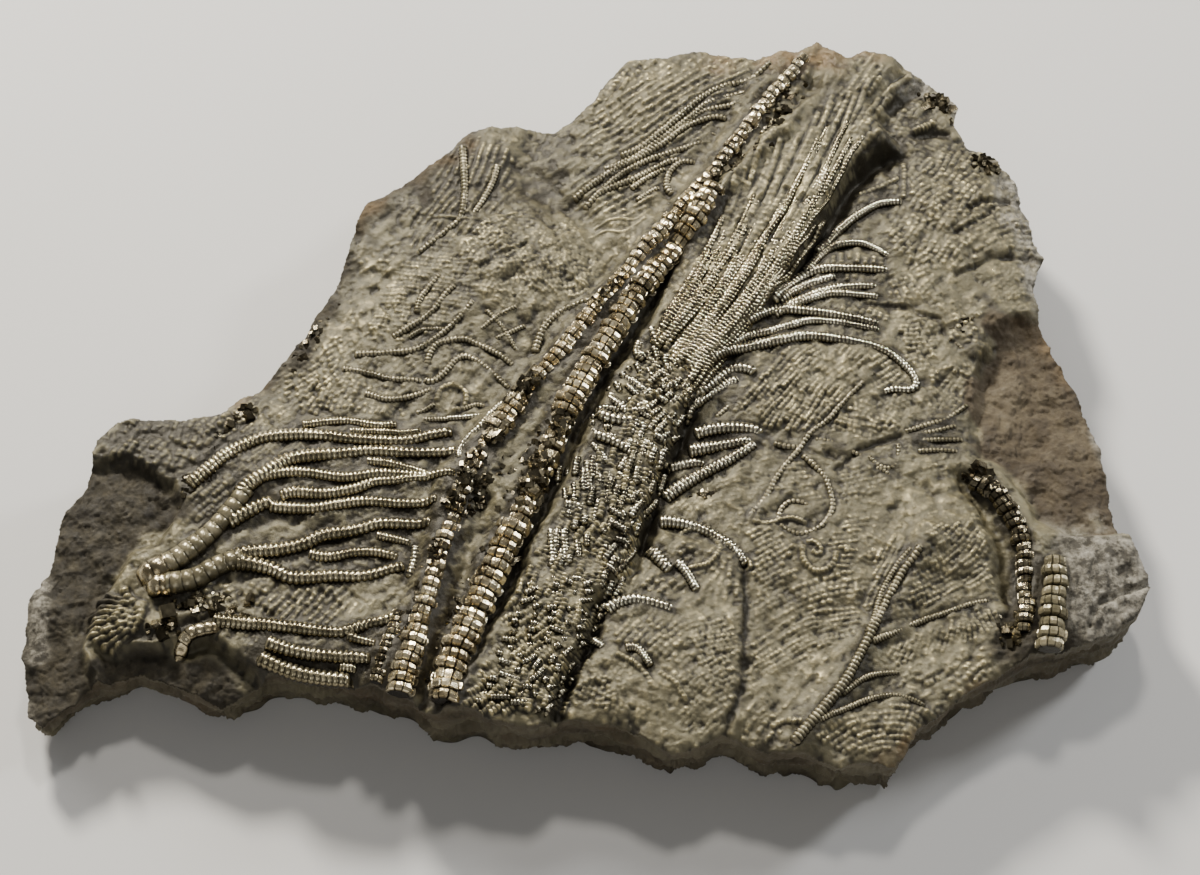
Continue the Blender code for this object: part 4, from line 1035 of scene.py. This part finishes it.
def crystal_crust(material):
    """Small broken cubes, single and in clusters, sunk into the face."""
    rng = np.random.default_rng(33)
    batch = Batch()
    clusters = [(cluster, 0.0) for cluster in CRUSTS]
    clusters += [(cluster, STALK_CRUST_LIFT) for cluster in STALK_CRUSTS]
    for cluster, lift in clusters:
        (cx, cy), (rx, ry), turn, number, smallest, largest = cluster
        angle = math.radians(turn)
        for _ in range(number):
            u, v = rng.normal(0.0, 0.5, 2).clip(-1.0, 1.0) * (rx, ry)
            x = cx + u * math.cos(angle) - v * math.sin(angle)
            y = cy + u * math.sin(angle) + v * math.cos(angle)
            if not is_inside(x, y, OUTLINE) or distance_to(x, y, OUTLINE, closed=True) < 1.2:
                continue
            edge = smallest + (largest - smallest) * rng.random() ** 2
            size = edge * rng.uniform(0.7, 1.2, 3)
            z = float(face_height(x, y)) + lift + edge * rng.uniform(-0.15, 0.2)
            batch.add_block((x, y, z), size, tuple(rng.uniform(-0.6, 0.6, 3)), rng.uniform(0.25, 1.0))
    (x, y), size, turn = LARGE_CUBE
    batch.add_block((x, y, float(face_height(x, y)) + 1.0), np.array(size), turn, 1.0)
    return batch.piece("crystal_crust", material, smooth=False)


def between_guides(guides, place, rng, wiggle=0.5):
    """A route between two neighbouring guide lines."""
    low = min(int(place), len(guides) - 2)
    share = place - low
    stations = np.linspace(0.0, 1.0, 14)
    first, second = Curve(guides[low]), Curve(guides[low + 1])
    blend = first.at(stations * first.length) * (1 - share) + second.at(stations * second.length) * share
    phase = rng.uniform(0, 6.28)
    sway = wiggle * np.sin(stations * rng.uniform(5, 9) + phase)
    heading = np.gradient(blend, axis=0)
    heading /= np.linalg.norm(heading, axis=1, keepdims=True)
    return blend + np.stack([-heading[:, 1], heading[:, 0]], axis=1) * sway[:, None]


def crown_lines(rng, number, begins, ends, wiggle):
    """Curves side by side over the whole width of the crown."""
    for k in range(number):
        place = (len(CROWN_GUIDES) - 1) * (k + rng.uniform(0.3, 0.7)) / number
        curve = Curve(between_guides(CROWN_GUIDES, place, rng, wiggle))
        start = begins + rng.uniform(0.0, 0.08)
        stop = ends - rng.uniform(0.0, 0.25 * (ends - begins))
        yield Curve(curve.at(np.linspace(start, stop, 12) * curve.length))


# Layers of ribbons, lowest first: number, width, lift, share of the crown's length from and to
CROWN_LAYERS = ((12, 1.9, 0.36, 0.0, 0.90), (9, 1.75, 0.55, 0.0, 0.74), (7, 1.55, 0.80, 0.03, 0.55))


def crown(material):
    """The gathered arms of the crown, in layers of flat ribbons."""
    rng = np.random.default_rng(21)
    batch = Batch()
    for number, width, lift, begins, ends in CROWN_LAYERS:
        for curve in crown_lines(rng, number, begins, ends, 0.35):
            size = width * rng.uniform(0.8, 1.1)
            add_strand(batch, curve, size, size * 0.6, 0.72, lift=lift * rng.uniform(0.7, 1.2), tip=4.0,
                       seed=int(rng.integers(10 ** 6)), tall=0.8, wander=0.25, flank_shade=-0.15)
    return batch.piece("crown_arms", material)


FACE_STEP = 0.272
SIDE_ROWS = 20
# Width of the piece along the edge, and level of the hidden floor of each piece
BAND = 3.0
FLOOR_LEVEL = 6.0
# The cuts between the face pieces run along the stalks
CUT_SLOPE = 2.16
HEM_DIP = 0.015

# Narrow cracks and steps in the face: route, rise, half width
CRACKS = [
    ([(25.4, -33), (25.6, -41), (25.2, -49), (24.6, -56), (23, -60), (21, -66)], -0.81, 0.63),
    ([(80.5, -45), (81.5, -42), (83, -40.3), (86, -39.2), (89, -38), (92, -36.5)], -0.93, 0.54),
    ([(66, 34), (68, 35.4), (71, 35.8), (77, 35.7)], -0.68, 0.54),
    ([(63, 21), (66, 22.5), (69, 24.3), (73, 24.6), (77.5, 24.5)], -0.74, 0.63),
    ([(62, 28.5), (65, 30), (68, 32), (70, 34)], -0.43, 0.45),
    ([(48, 15.4), (52, 14.9), (55, 14.4), (57, 13), (59.7, 12.2), (60.2, 9.6)], -0.62, 0.45),
    ([(38, 24.2), (40, 26), (43, 26.9), (46.5, 27.3)], -0.56, 0.54),
    ([(52, -9.9), (48, -11.2), (44.5, -13), (41, -16.5)], -0.56, 0.45),
    ([(-19, 21), (-15, 23.5), (-10.5, 26.5)], -0.62, 0.45),
    ([(-61, -43), (-66, -44.5), (-70, -45.5), (-77, -46.5)], -0.74, 0.9),
    ([(-69, -16.5), (-64, -15.5), (-60, -11.5)], -0.43, 0.63),
    ([(-78, -11), (-72, -9), (-67, -12)], -0.31, 0.54),
    ([(57.5, 49.3), (60, 49.9), (63, 50)], -0.81, 0.72),
    ([(53, 55), (56, 57), (59, 60)], -1.12, 1.17),
    ([(41, -14.2), (38.8, -13.6), (36.8, -13)], -0.37, 0.45),
    ([(53, 45.5), (49.5, 43.5), (46, 39.5), (42.5, 33.5), (38.5, 27), (34.5, 20.5)], -1.3, 1.1),
    ([(-62, -40.5), (-66, -40.3), (-69, -40.8)], -1.0, 1.0),
    ([(17, -6), (14, -14), (11, -22), (9, -30)], -1.4, 0.9),
    ([(2.5, -41), (1.5, -46), (-2, -53), (-5, -60)], -1.2, 0.9),
    ([(-48, -39.6), (-44, -42), (-41.5, -44)], -0.4, 0.4),
    ([(-43, -38.6), (-39, -41.5)], -0.4, 0.4),
    ([(-39, -38), (-35.5, -41)], -0.35, 0.4),
    ([(-54, -40.5), (-50, -43)], -0.4, 0.45),
]


# Spots where shade is painted into the stone's colour, or light where the strength is below zero: centre,
# reach, strength
PAINTED_SHADE_SPOTS = [
    (-70, -10, 9, 0.32), (-60, -9, 7, 0.26), (-60, -22, 6, 0.2), (-8, 40, 8, 0.36), (-4, 48, 6, 0.15),
    (-25, 42, 8, 0.2), (50, 40, 6, 0.36), (46, 32, 4, 0.16), (22, 26, 4, 0.12), (25, 33, 3, 0.12),
    (-45, -26, 14, 0.1), (-55, -42, 8, 0.14), (-70, -38, 5, 0.12), (-45, 7, 9, -0.1), (-46, -52, 10, 0.12),
    (-6, -20, 7, 0.16), (-20, -42, 9, 0.1), (56, -25, 7, -0.08), (10, 58, 7, -0.05), (-77, -10, 6, 0.28),
    (-30, 32, 7, 0.22), (41, 54, 6, 0.2), (57, 50, 6, 0.36), (45, 2, 8, -0.16),
]


def face_detail(x, y, relief):
    """Fine relief of the stone: lumps, grain, ledges, cracks and the pressed strands, with its crest value,
    which holds painted shade.
    """
    grain = 0.085 * rough(x, y, 0.95, 2, 5) + 0.05 * rough(x, y, 2.4, 2, 8)
    lumps = 0.20 * rough(x, y, 7.0, 4, 17)
    broken = np.zeros(np.shape(x))
    for tint in ("bare", "brown", "white"):
        for outline, soft in TINTS[tint]:
            broken = np.maximum(broken, soft_mask(x, y, outline, soft))
    ledges = rough(x, y, 5.0, 5, 91)
    ledges = 0.45 * (np.floor(2.2 * ledges) / 2.2 + 0.35 * ledges)
    cracks = np.zeros(np.shape(x))
    wobble = 0.35 * noise(x, y, 1.6, 95)
    for route, rise, half_width in CRACKS:
        cracks += rise * np.exp(-((distance_to(x, y, route) + wobble) / half_width) ** 2)
    pits = -0.20 * smooth_step(1.5 * rough(x, y, 1.25, 3, 13) - 0.4)
    rim = np.exp(-distance_to(x, y, OUTLINE, closed=True) / 2.2)
    crumbs = rim * (0.38 * rough(x, y, 1.7, 3, 29) - 0.15)
    rise, stand, strand_shade = relief.at(x, y)
    # Crest value: lighter where the relief stands out, with painted shade in hollows, cracks, pits and
    # beside bold strands
    crest_and_shade = 0.5 + 2.0 * stand + 1.9 * grain + broken * 0.35 * ledges + 0.6 * cracks - 0.5 * strand_shade
    crest_and_shade += 1.3 * pits + 0.6 * crumbs
    # Painted shade at the listed spots, and painted light where the strength is below zero
    for cx, cy, reach, painted_shade in PAINTED_SHADE_SPOTS:
        crest_and_shade -= painted_shade * np.exp(-((x - cx) ** 2 + (y - cy) ** 2) / reach ** 2)
    return grain + lumps + broken * ledges + cracks + pits + crumbs + rise, np.clip(crest_and_shade, 0.0, 1.0)


class Face:
    """The slab's upper surface on one staggered grid, cut into pieces that share their edge points."""

    def __init__(self, relief):
        rows = FACE_STEP * math.sqrt(0.75)
        xs = np.arange(-HALF_WIDTH, HALF_WIDTH, FACE_STEP)
        ys = np.arange(-HALF_DEPTH, HALF_DEPTH, rows)
        gx, gy = np.meshgrid(xs, ys)
        gx = gx + np.where(np.arange(len(ys)) % 2, 0.5 * FACE_STEP, 0.0)[:, None]
        index = np.arange(gx.size).reshape(gx.shape)
        a, b, c, d = index[:-1, :-1], index[:-1, 1:], index[1:, :-1], index[1:, 1:]
        odd = np.broadcast_to((np.arange(len(ys) - 1) % 2 == 1)[:, None], a.shape)
        first = np.where(odd[..., None], np.stack([a, b, d], -1), np.stack([a, b, c], -1))
        second = np.where(odd[..., None], np.stack([a, d, c], -1), np.stack([b, d, c], -1))
        triangles = np.concatenate([first.reshape(-1, 3), second.reshape(-1, 3)])
        x, y = gx.ravel(), gy.ravel()
        depth = distance_to(x, y, OUTLINE, closed=True)
        inside = is_inside(x, y, OUTLINE) & (depth > 0.45 + 0.35 * rough(x, y, 2.2, 2, 31))
        triangles = without_pinches(triangles[inside[triangles].all(axis=1)])
        z = np.zeros(len(x))
        self.crest_and_shade = np.zeros(len(x))
        used = np.unique(triangles)
        ux, uy = x[used], y[used]
        detail, self.crest_and_shade[used] = face_detail(ux, uy, relief)
        z[used] = face_height(ux, uy) + detail
        z -= 0.9 * np.exp(-depth / 0.9) * (1.0 + 0.6 * noise(x, y, 3.0, 71))
        self.points = np.stack([x, y, z], axis=1)
        self.triangles = triangles
        middle = self.points[triangles].mean(axis=1)
        slant = middle[:, 0] - middle[:, 1] / CUT_SLOPE
        inner = distance_to(middle[:, 0], middle[:, 1], OUTLINE, closed=True) > BAND
        cuts = np.quantile(slant[inner], (0.25, 0.5, 0.75))
        self.label = np.where(inner, 1 + np.searchsorted(cuts, slant), 0)

    def part(self, label):
        """Triangles of one piece with a hem that dips just under its neighbours."""
        owned = self.label == label
        is_own = np.zeros(len(self.points), bool)
        is_own[self.triangles[owned]] = True
        kept = without_pinches(self.triangles[owned | is_own[self.triangles].any(axis=1)])
        points = self.points.copy()
        points[~is_own, 2] -= HEM_DIP
        used = np.unique(kept)
        renumber = np.full(len(points), -1)
        renumber[used] = np.arange(len(used))
        return points[used], renumber[kept], self.crest_and_shade[used]


def rim_edges(triangles):
    """Directed edges that belong to one triangle only."""
    edges = np.concatenate([triangles[:, [0, 1]], triangles[:, [1, 2]], triangles[:, [2, 0]]])
    span = int(edges.max()) + 1
    forward = edges[:, 0] * span + edges[:, 1]
    backward = edges[:, 1] * span + edges[:, 0]
    return edges[~np.isin(forward, backward)]


def without_pinches(triangles):
    """Drops triangles at points where the rim would meet itself."""
    while True:
        starts, counts = np.unique(rim_edges(triangles)[:, 0], return_counts=True)
        pinched = starts[counts > 1]
        if len(pinched) == 0:
            return triangles
        triangles = triangles[~np.isin(triangles, pinched).any(axis=1)]


def rim_loops(triangles):
    """The closed loops of points around a set of triangles."""
    follow = dict(rim_edges(triangles).tolist())
    loops = []
    while follow:
        start = next(iter(follow))
        loop = [start]
        step = follow.pop(start)
        while step != start:
            loop.append(step)
            step = follow.pop(step)
        loops.append(np.array(loop))
    return loops


def cap(points, faces_up):
    """Triangles over a flat ring of points, facing up or down."""
    flat = [Vector((px, py, 0.0)) for px, py, _ in points]
    triangles = []
    for a, b, c in tessellate_polygon([flat]):
        (ax, ay, _), (bx, by, _), (cx, cy, _) = flat[a], flat[b], flat[c]
        turns_left = (bx - ax) * (cy - ay) - (by - ay) * (cx - ax) > 0
        triangles.append((a, b, c) if turns_left == faces_up else (c, b, a))
    return np.array(triangles)


def evened(ring, rounds):
    """A closed ring with its folds and corners rounded off."""
    for _ in range(rounds):
        ring = 0.5 * ring + 0.25 * (np.roll(ring, 1, axis=0) + np.roll(ring, -1, axis=0))
    return ring


def broken_side(top):
    """Rings of points down the slab's broken side, from its upper rim to the underside."""
    around = evened(top[:, :2], 40)
    run = np.roll(around, -5, axis=0) - np.roll(around, 5, axis=0)
    inward = np.stack([-run[:, 1], run[:, 0]], axis=1) / np.linalg.norm(run, axis=1, keepdims=True)
    travel = np.concatenate([[0.0], np.cumsum(np.linalg.norm(np.diff(around, axis=0), axis=1))])
    rings = []
    for row in range(1, SIDE_ROWS + 1):
        drop = row / SIDE_ROWS
        level = top[:, 2] * (1.0 - drop)
        bed = noise(level * 0 + 2.0, level + 0.05 * travel, 1.3, 51)
        crag = rough(travel, 1.6 * level, 3.6, 4, 61)
        crag = 0.75 * (np.floor(2.5 * crag) / 2.5 + 0.5 * crag) + 0.25 * rough(travel, level, 0.8, 2, 67)
        away = min(1.0, 3 * drop)
        inset = EDGE_TAPER * drop ** 1.6 + (crag + 0.4 * bed) * away + 0.5 * drop
        base = top[:, :2] * (1 - away) + around * away
        rings.append(np.column_stack([base + inward * np.maximum(inset, 0.0)[:, None], level]))
    # The underside needs a rim that doesn't cross itself
    rings[-1] = evened(rings[-1], 20)
    return rings


def stone_piece(face, label, name, material):
    """One closed piece of the stone: a stretch of the face, its walls and a hidden floor."""
    points, triangles, crest_and_shade = face.part(label)
    blocks, faces, count = [points], triangles.tolist(), len(points)
    for loop in rim_loops(triangles):
        top = points[loop]
        turn = np.roll(top, -1, axis=0)
        goes_left = np.sum(top[:, 0] * turn[:, 1] - turn[:, 0] * top[:, 1]) > 0
        if label == 0 and goes_left:
            rings = broken_side(top)
        else:
            rings = [np.column_stack([top[:, :2], np.full(len(top), FLOOR_LEVEL - 0.4 * (label > 0))])]
        high = loop
        for ring in rings:
            low = count + np.arange(len(ring))
            faces += np.stack([np.roll(high, -1), high, low, np.roll(low, -1)], axis=1).tolist()
            count += len(ring)
            high = low
        blocks += rings
        faces += high[cap(rings[-1], faces_up=not goes_left)].tolist()
    coords = np.vstack(blocks)
    mesh = bpy.data.meshes.new(name)
    mesh.from_pydata((coords * MM).tolist(), [], faces)
    paint_regions(mesh, coords, len(crest_and_shade))
    set_attribute(mesh, "crest_and_shade", np.concatenate([crest_and_shade, np.full(len(coords) - len(crest_and_shade), 0.45)]))
    return finish_piece(name, mesh, material)


def slab_rock(relief, material):
    """The stone in five pieces: the edge, then the face from left to right."""
    face = Face(relief)
    names = ("slab_rim", "face_left", "face_middle_left", "face_middle_right", "face_right")
    for label, name in enumerate(names):
        stone_piece(face, label, name, material)


# Where the stone changes colour: outline in plan, width of the soft edge
TINTS = {
    "bare": [([(-98, -34), (-84, -14), (-76, -14.5), (-68, -18.5), (-66.5, -22), (-69.5, -29), (-74, -31),
        (-77, -37), (-80, -42), (-81, -48), (-78, -54), (-84, -66), (-98, -66)], 3.0), ([(-79, -48.5),
        (-66, -49), (-60, -50), (-55, -53), (-52, -60), (-58, -64), (-80, -60)], 2.0), ([(-46, 8),
        (-40, 22), (-38, 34), (-28, 40), (-20, 52), (-44, 48), (-60, 6), (-56, 0)], 5.0), ([(75, -27),
        (84, -27), (96, -34), (94, -46), (80, -54), (66, -52), (67, -44), (72, -36)], 3.0)],
    "brown": [([(65.5, 2), (68, 10), (73, 13.5), (90, 13), (96, -24), (88, -26.5), (79, -26), (74, -24.5),
        (70, -16), (65, -13), (64.5, -5)], 2.5)],
    "white": [([(76, -26), (90, -26), (96, -38), (90, -44), (80, -47), (75, -40)], 9.0), ([(83, 3),
        (86, -8), (88, -17), (88, -28), (94, -28), (93, -8), (88, 6)], 2.0), ([(54, 61), (60, 64), (72, 52),
        (82, 40), (82, 10), (76, 14), (70, 44), (60, 58)], 5.0), ([(-98, -30), (-88, -32), (-90, -50),
        (-88, -62), (-98, -62)], 3.0)],
    "rust": [([(-60, -2), (-40, 34), (-22, 50), (-26, 56), (-50, 40), (-66, 2)], 7.0), ([(20, 64), (50, 63),
        (58, 72), (20, 74)], 4.0), ([(43, -66.5), (51, -63.5), (59, -59), (66, -54), (72, -56), (58, -68),
        (50, -74), (42, -72)], 3.0), ([(74, 12), (80, 12), (84, 4), (80, 2)], 4.0)],
}


def paint_regions(mesh, coords, face_points):
    """Per-point amounts of each tint; the broken sides are bare with some rust."""
    x, y, z = coords.T
    blur = 3.0 * noise(x, y, 4.0, 81)
    is_side = np.arange(len(x)) >= face_points
    side_tints = {"bare": 1.0, "brown": 0.3, "white": 0.12, "rust": 0.35}
    for tint, patches in TINTS.items():
        amount = np.zeros(len(x))
        for outline, soft in patches:
            amount = np.maximum(amount, soft_mask(x + blur, y - blur, outline, soft))
        patchy = side_tints[tint] * (0.5 + 0.5 * rough(x - y, 2.5 * z, 9.0, 3, 83 + len(tint)))
        set_attribute(mesh, tint, np.clip(np.where(is_side, patchy, amount), 0.0, 1.0))


class Nodes:
    """Short names for building a material's nodes."""

    def __init__(self, name):
        self.material = bpy.data.materials.new(name)
        self.material.use_nodes = True
        self.tree = self.material.node_tree
        self.shader = self.tree.nodes["Principled BSDF"]

    def add(self, kind, **values):
        node = self.tree.nodes.new(kind)
        for key, value in values.items():
            if hasattr(node, key):
                setattr(node, key, value)
            else:
                node.inputs[key.replace("_", " ").title()].default_value = value
        return node

    def link(self, start, end):
        self.tree.links.new(start, end)

    def noise(self, scale, detail=4.0, rough=0.6):
        where = self.add("ShaderNodeTexCoord")
        node = self.add("ShaderNodeTexNoise", Scale=scale, Detail=detail, Roughness=rough)
        self.link(where.outputs["Object"], node.inputs["Vector"])
        return node.outputs["Fac"]

    def attribute(self, name):
        return self.add("ShaderNodeAttribute", attribute_name=name).outputs["Fac"]

    def ramp(self, source, *stops):
        """Colours or greys at places from 0 to 1."""
        node = self.add("ShaderNodeValToRGB")
        elements = node.color_ramp.elements
        while len(elements) < len(stops):
            elements.new(0.5)
        for element, (place, tone) in zip(elements, stops):
            element.position = place
            element.color = (*tone, 1.0) if isinstance(tone, tuple) else (tone, tone, tone, 1.0)
        self.link(source, node.inputs["Fac"])
        return node.outputs["Color"]

    def mix(self, amount, first, second, blend="MIX"):
        node = self.add("ShaderNodeMix", data_type="RGBA", blend_type=blend)
        for socket, value in ((node.inputs[0], amount), (node.inputs[6], first), (node.inputs[7], second)):
            if isinstance(value, bpy.types.NodeSocket):
                self.link(value, socket)
            elif isinstance(value, tuple):
                socket.default_value = (*value, 1.0)
            else:
                socket.default_value = value
        return node.outputs[2]

    def math(self, operation, first, second=0.0, clamp=False):
        node = self.add("ShaderNodeMath", operation=operation, use_clamp=clamp)
        for socket, value in zip(node.inputs, (first, second)):
            if isinstance(value, bpy.types.NodeSocket):
                self.link(value, socket)
            else:
                socket.default_value = value
        return node.outputs[0]

    def bump(self, height, distance, strength, below=None):
        node = self.add("ShaderNodeBump", Strength=strength, Distance=distance)
        self.link(height, node.inputs["Height"])
        if below is not None:
            self.link(below, node.inputs["Normal"])
        return node.outputs["Normal"]


# Colours of each pyrite: in its seams and painted shade, on its skin, on its brightest grains
PYRITE = {
    "bronze": ((0.035, 0.026, 0.014), (0.44, 0.355, 0.205), (1.0, 0.89, 0.62)),
    "pewter": ((0.075, 0.063, 0.037), (0.42, 0.365, 0.225), (0.95, 0.84, 0.56)),
    "silver": ((0.06, 0.05, 0.03), (0.34, 0.295, 0.18), (0.90, 0.80, 0.54)),
    # bright is lighter than pewter: partly its own colour, partly a painted highlight on arms that catch the
    # light
    "bright": ((0.055, 0.047, 0.03), (0.66, 0.59, 0.41), (1.0, 0.94, 0.73)),
    "faint": ((0.045, 0.038, 0.022), (0.19, 0.167, 0.10), (0.48, 0.42, 0.27)),
    "weathered": ((0.02, 0.015, 0.008), (0.11, 0.092, 0.058), (0.40, 0.35, 0.23)),
}


def pyrite_material(name, dark, mid, bright, metallic=0.92):
    """Brassy pyrite: bright on the crests, dull and dark in the seams; the crest value also paints shade on
    the flanks and a highlight on the tops.
    """
    n = Nodes(name)
    metal = n.ramp(n.noise(240.0, 5.0, 0.65), (0.40, mid), (0.64, bright))
    crest_and_shade = n.attribute("crest_and_shade")
    # Dark in the seams and in painted shade, metal-coloured on the crests and on the painted highlight of
    # each top
    color = n.mix(n.ramp(crest_and_shade, (0.08, 0), (0.8, 1)), dark, metal)
    stains = n.noise(75.0, 5.0, 0.7)
    color = n.mix(n.ramp(stains, (0.50, 0), (0.66, 0.75)), color, dark)
    n.link(color, n.shader.inputs["Base Color"])
    n.shader.inputs["Metallic"].default_value = metallic
    n.link(n.ramp(n.noise(900.0, 3.0), (0.3, 0.11), (0.7, 0.30)), n.shader.inputs["Roughness"])
    n.link(n.bump(n.noise(1400.0, 4.0, 0.7), 0.0001, 0.6), n.shader.inputs["Normal"])
    return n.material


def stone_material():
    """Grey-brown shale with a thin metallic skin, bare, rusty or crusted in places, with shade painted dark
    in its hollows.
    """
    n = Nodes("shale with a pyrite skin")
    grey = n.ramp(n.noise(90.0, 6.0, 0.65),
                  (0.28, (0.078, 0.067, 0.037)), (0.5, (0.135, 0.119, 0.069)), (0.74, (0.205, 0.183, 0.110)))
    crest_and_shade = n.attribute("crest_and_shade")
    # Painted shade: darker where the crest value is low, in hollows, cracks, pits and beside bold strands
    color = n.mix(n.ramp(crest_and_shade, (0.08, 0.9), (0.42, 0)), grey, (0.022, 0.018, 0.011))
    # The brassy skin follows the crest value: a metallic film of its own, and with it a painted highlight on
    # what stands out
    flakes = n.ramp(n.noise(330.0, 5.0, 0.7), (0.40, 0.15), (0.60, 1))
    skin = n.mix(1.0, n.ramp(crest_and_shade, (0.5, 0), (0.9, 0.9)), flakes, "MULTIPLY")
    color = n.mix(skin, color, (0.62, 0.53, 0.30))
    bare = n.ramp(n.noise(420.0, 5.0, 0.7),
                  (0.3, (0.012, 0.009, 0.005)), (0.52, (0.032, 0.026, 0.014)), (0.75, (0.075, 0.062, 0.036)))
    color = n.mix(n.attribute("bare"), color, bare)
    brown = n.ramp(n.noise(120.0, 6.0, 0.7),
                   (0.32, (0.035, 0.024, 0.012)), (0.5, (0.075, 0.056, 0.031)), (0.68, (0.15, 0.12, 0.073)))
    color = n.mix(n.attribute("brown"), color, brown)
    speck = n.ramp(n.noise(420.0, 5.0, 0.7), (0.44, 0.1), (0.68, 1))
    white = n.mix(1.0, n.attribute("white"), speck, "MULTIPLY")
    color = n.mix(white, color, (0.42, 0.39, 0.32))
    streak = n.ramp(n.noise(150.0, 5.0, 0.7), (0.46, 0), (0.66, 0.8))
    rust = n.mix(0.8, n.attribute("rust"), streak, "MULTIPLY")
    color = n.mix(rust, color, (0.19, 0.125, 0.056))
    n.link(color, n.shader.inputs["Base Color"])
    stripped = n.math("MAXIMUM", n.attribute("bare"), n.attribute("brown"))
    metal = n.math("MULTIPLY", skin, 0.9)
    metal = n.math("SUBTRACT", n.math("ADD", metal, 0.25), stripped, clamp=True)
    n.link(metal, n.shader.inputs["Metallic"])
    gloss = n.ramp(n.noise(700.0, 3.0), (0.3, 0.42), (0.7, 0.62))
    gloss = n.math("SUBTRACT", gloss, n.math("MULTIPLY", skin, 0.22))
    gloss = n.math("ADD", gloss, n.math("MULTIPLY", stripped, 0.3), clamp=True)
    n.link(gloss, n.shader.inputs["Roughness"])
    coarse = n.bump(n.noise(500.0, 6.0, 0.7), 0.0004, 0.7)
    fine = n.bump(n.noise(1800.0, 4.0, 0.7), 0.00015, 0.6, coarse)
    n.link(fine, n.shader.inputs["Normal"])
    return n.material


def floor():
    bm = bmesh.new()
    bmesh.ops.create_grid(bm, x_segments=8, y_segments=8, size=2.0)
    mesh = bpy.data.meshes.new("floor")
    bm.to_mesh(mesh)
    bm.free()
    n = Nodes("pale floor")
    n.link(n.ramp(n.noise(3.0, 3.0), (0.3, (0.70, 0.69, 0.67)), (0.7, (0.76, 0.75, 0.73))),
           n.shader.inputs["Base Color"])
    n.shader.inputs["Roughness"].default_value = 0.9
    mesh.materials.append(n.material)
    obj = bpy.data.objects.new("floor", mesh)
    obj.location.z = -0.0002
    bpy.context.scene.collection.objects.link(obj)


def light(name, place, size, power, color=(1.0, 1.0, 1.0)):
    lamp = bpy.data.lights.new(name, "AREA")
    lamp.shape = "DISK"
    lamp.size = size
    lamp.energy = power
    lamp.color = color
    obj = bpy.data.objects.new(name, lamp)
    obj.location = place
    obj.rotation_euler = (Vector((0, 0, 0.015)) - Vector(place)).to_track_quat("-Z", "Y").to_euler()
    bpy.context.scene.collection.objects.link(obj)


def lights_and_camera():
    light("key", (-0.26, 0.50, 0.40), 0.12, 8.5, (1.0, 0.95, 0.85))
    light("back", (0.04, 0.42, 0.72), 0.10, 2.2, (1.0, 0.96, 0.90))
    light("side", (0.55, 0.30, 0.36), 0.14, 2.4, (0.96, 0.98, 1.0))
    light("front fill", (-0.1, -0.75, 0.7), 0.6, 1.2)
    world = bpy.data.worlds.new("studio")
    world.use_nodes = True
    world.node_tree.nodes["Background"].inputs["Color"].default_value = (1.0, 0.98, 0.94, 1.0)
    world.node_tree.nodes["Background"].inputs["Strength"].default_value = 0.13
    bpy.context.scene.world = world
    # Fitted to the photo's view of the slab
    elevation = math.radians(62)
    distance = 0.5
    target = Vector((0.0021, -0.009, 0.013))
    camera = bpy.data.cameras.new("camera")
    camera.lens = 90.0
    camera.sensor_width = 36.0
    camera.clip_start = 0.01
    obj = bpy.data.objects.new("camera", camera)
    obj.location = target + distance * Vector((0.0, -math.cos(elevation), math.sin(elevation)))
    obj.rotation_euler = (math.pi / 2 - elevation, 0.0, 0.0)
    bpy.context.scene.collection.objects.link(obj)
    bpy.context.scene.camera = obj


def main():
    stone = stone_material()
    bronze = pyrite_material("bronze pyrite", *PYRITE["bronze"])
    pewter = pyrite_material("pewter pyrite", *PYRITE["pewter"])
    silver = pyrite_material("silver pyrite", *PYRITE["silver"])
    # A lighter pyrite that paints in highlights, for the right fan, sticks, inner arms and combs
    bright = pyrite_material("bright pyrite", *PYRITE["bright"])
    faint = pyrite_material("faint pyrite", *PYRITE["faint"], metallic=0.45)
    dull = pyrite_material("weathered pyrite", *PYRITE["weathered"])
    relief = pinnule_relief()
    slab_rock(relief, stone)
    small = ["small curved", "second left row"]
    stalks("jointed_stalks", [name for name in STALKS if name not in small + ["small straight"]], bronze)
    stalks("small_stalks", small, dull)
    stalks("crusted_stalk", ["small straight"], faint)
    arm_group("left_arms", [arm for arm in LEFT_ARMS if arm[0] < 3.0], 0.44, pewter, 1.32)
    arm_group("left_arm_bases", [arm for arm in LEFT_ARMS if arm[0] >= 3.0], 0.62, faint, 1.3, BASE_JOINT)
    arm_group("cup_arms", CUP_ARMS, 0.6, bronze, 1.1, BASE_JOINT)
    arm_group("middle_left_arms", MIDDLE_LEFT_ARMS, 0.7, faint, 1.5)
    arm_group("upper_arms", UPPER_ARMS, 0.7, faint, 1.5)
    arm_group("right_arms", [arm for arm in RIGHT_ARMS if arm[0] >= 1.4], 0.45, bright, 1.4)
    arm_group("right_thin_arms", [arm for arm in RIGHT_ARMS if arm[0] < 1.4], 0.7, faint, 1.15)
    arm_group("lower_right_arms", LOWER_RIGHT_ARMS, 0.45, faint, 1.1)
    arm_group("smooth_sticks", STICKS, 0.5, bright, 1.2)
    arm_group("inner_arms", INNER_ARMS, 0.52, bright, 1.35)
    crown(silver)
    shaggy_combs(bright)
    crystal_crust(dull)
    floor()
    lights_and_camera()


main()
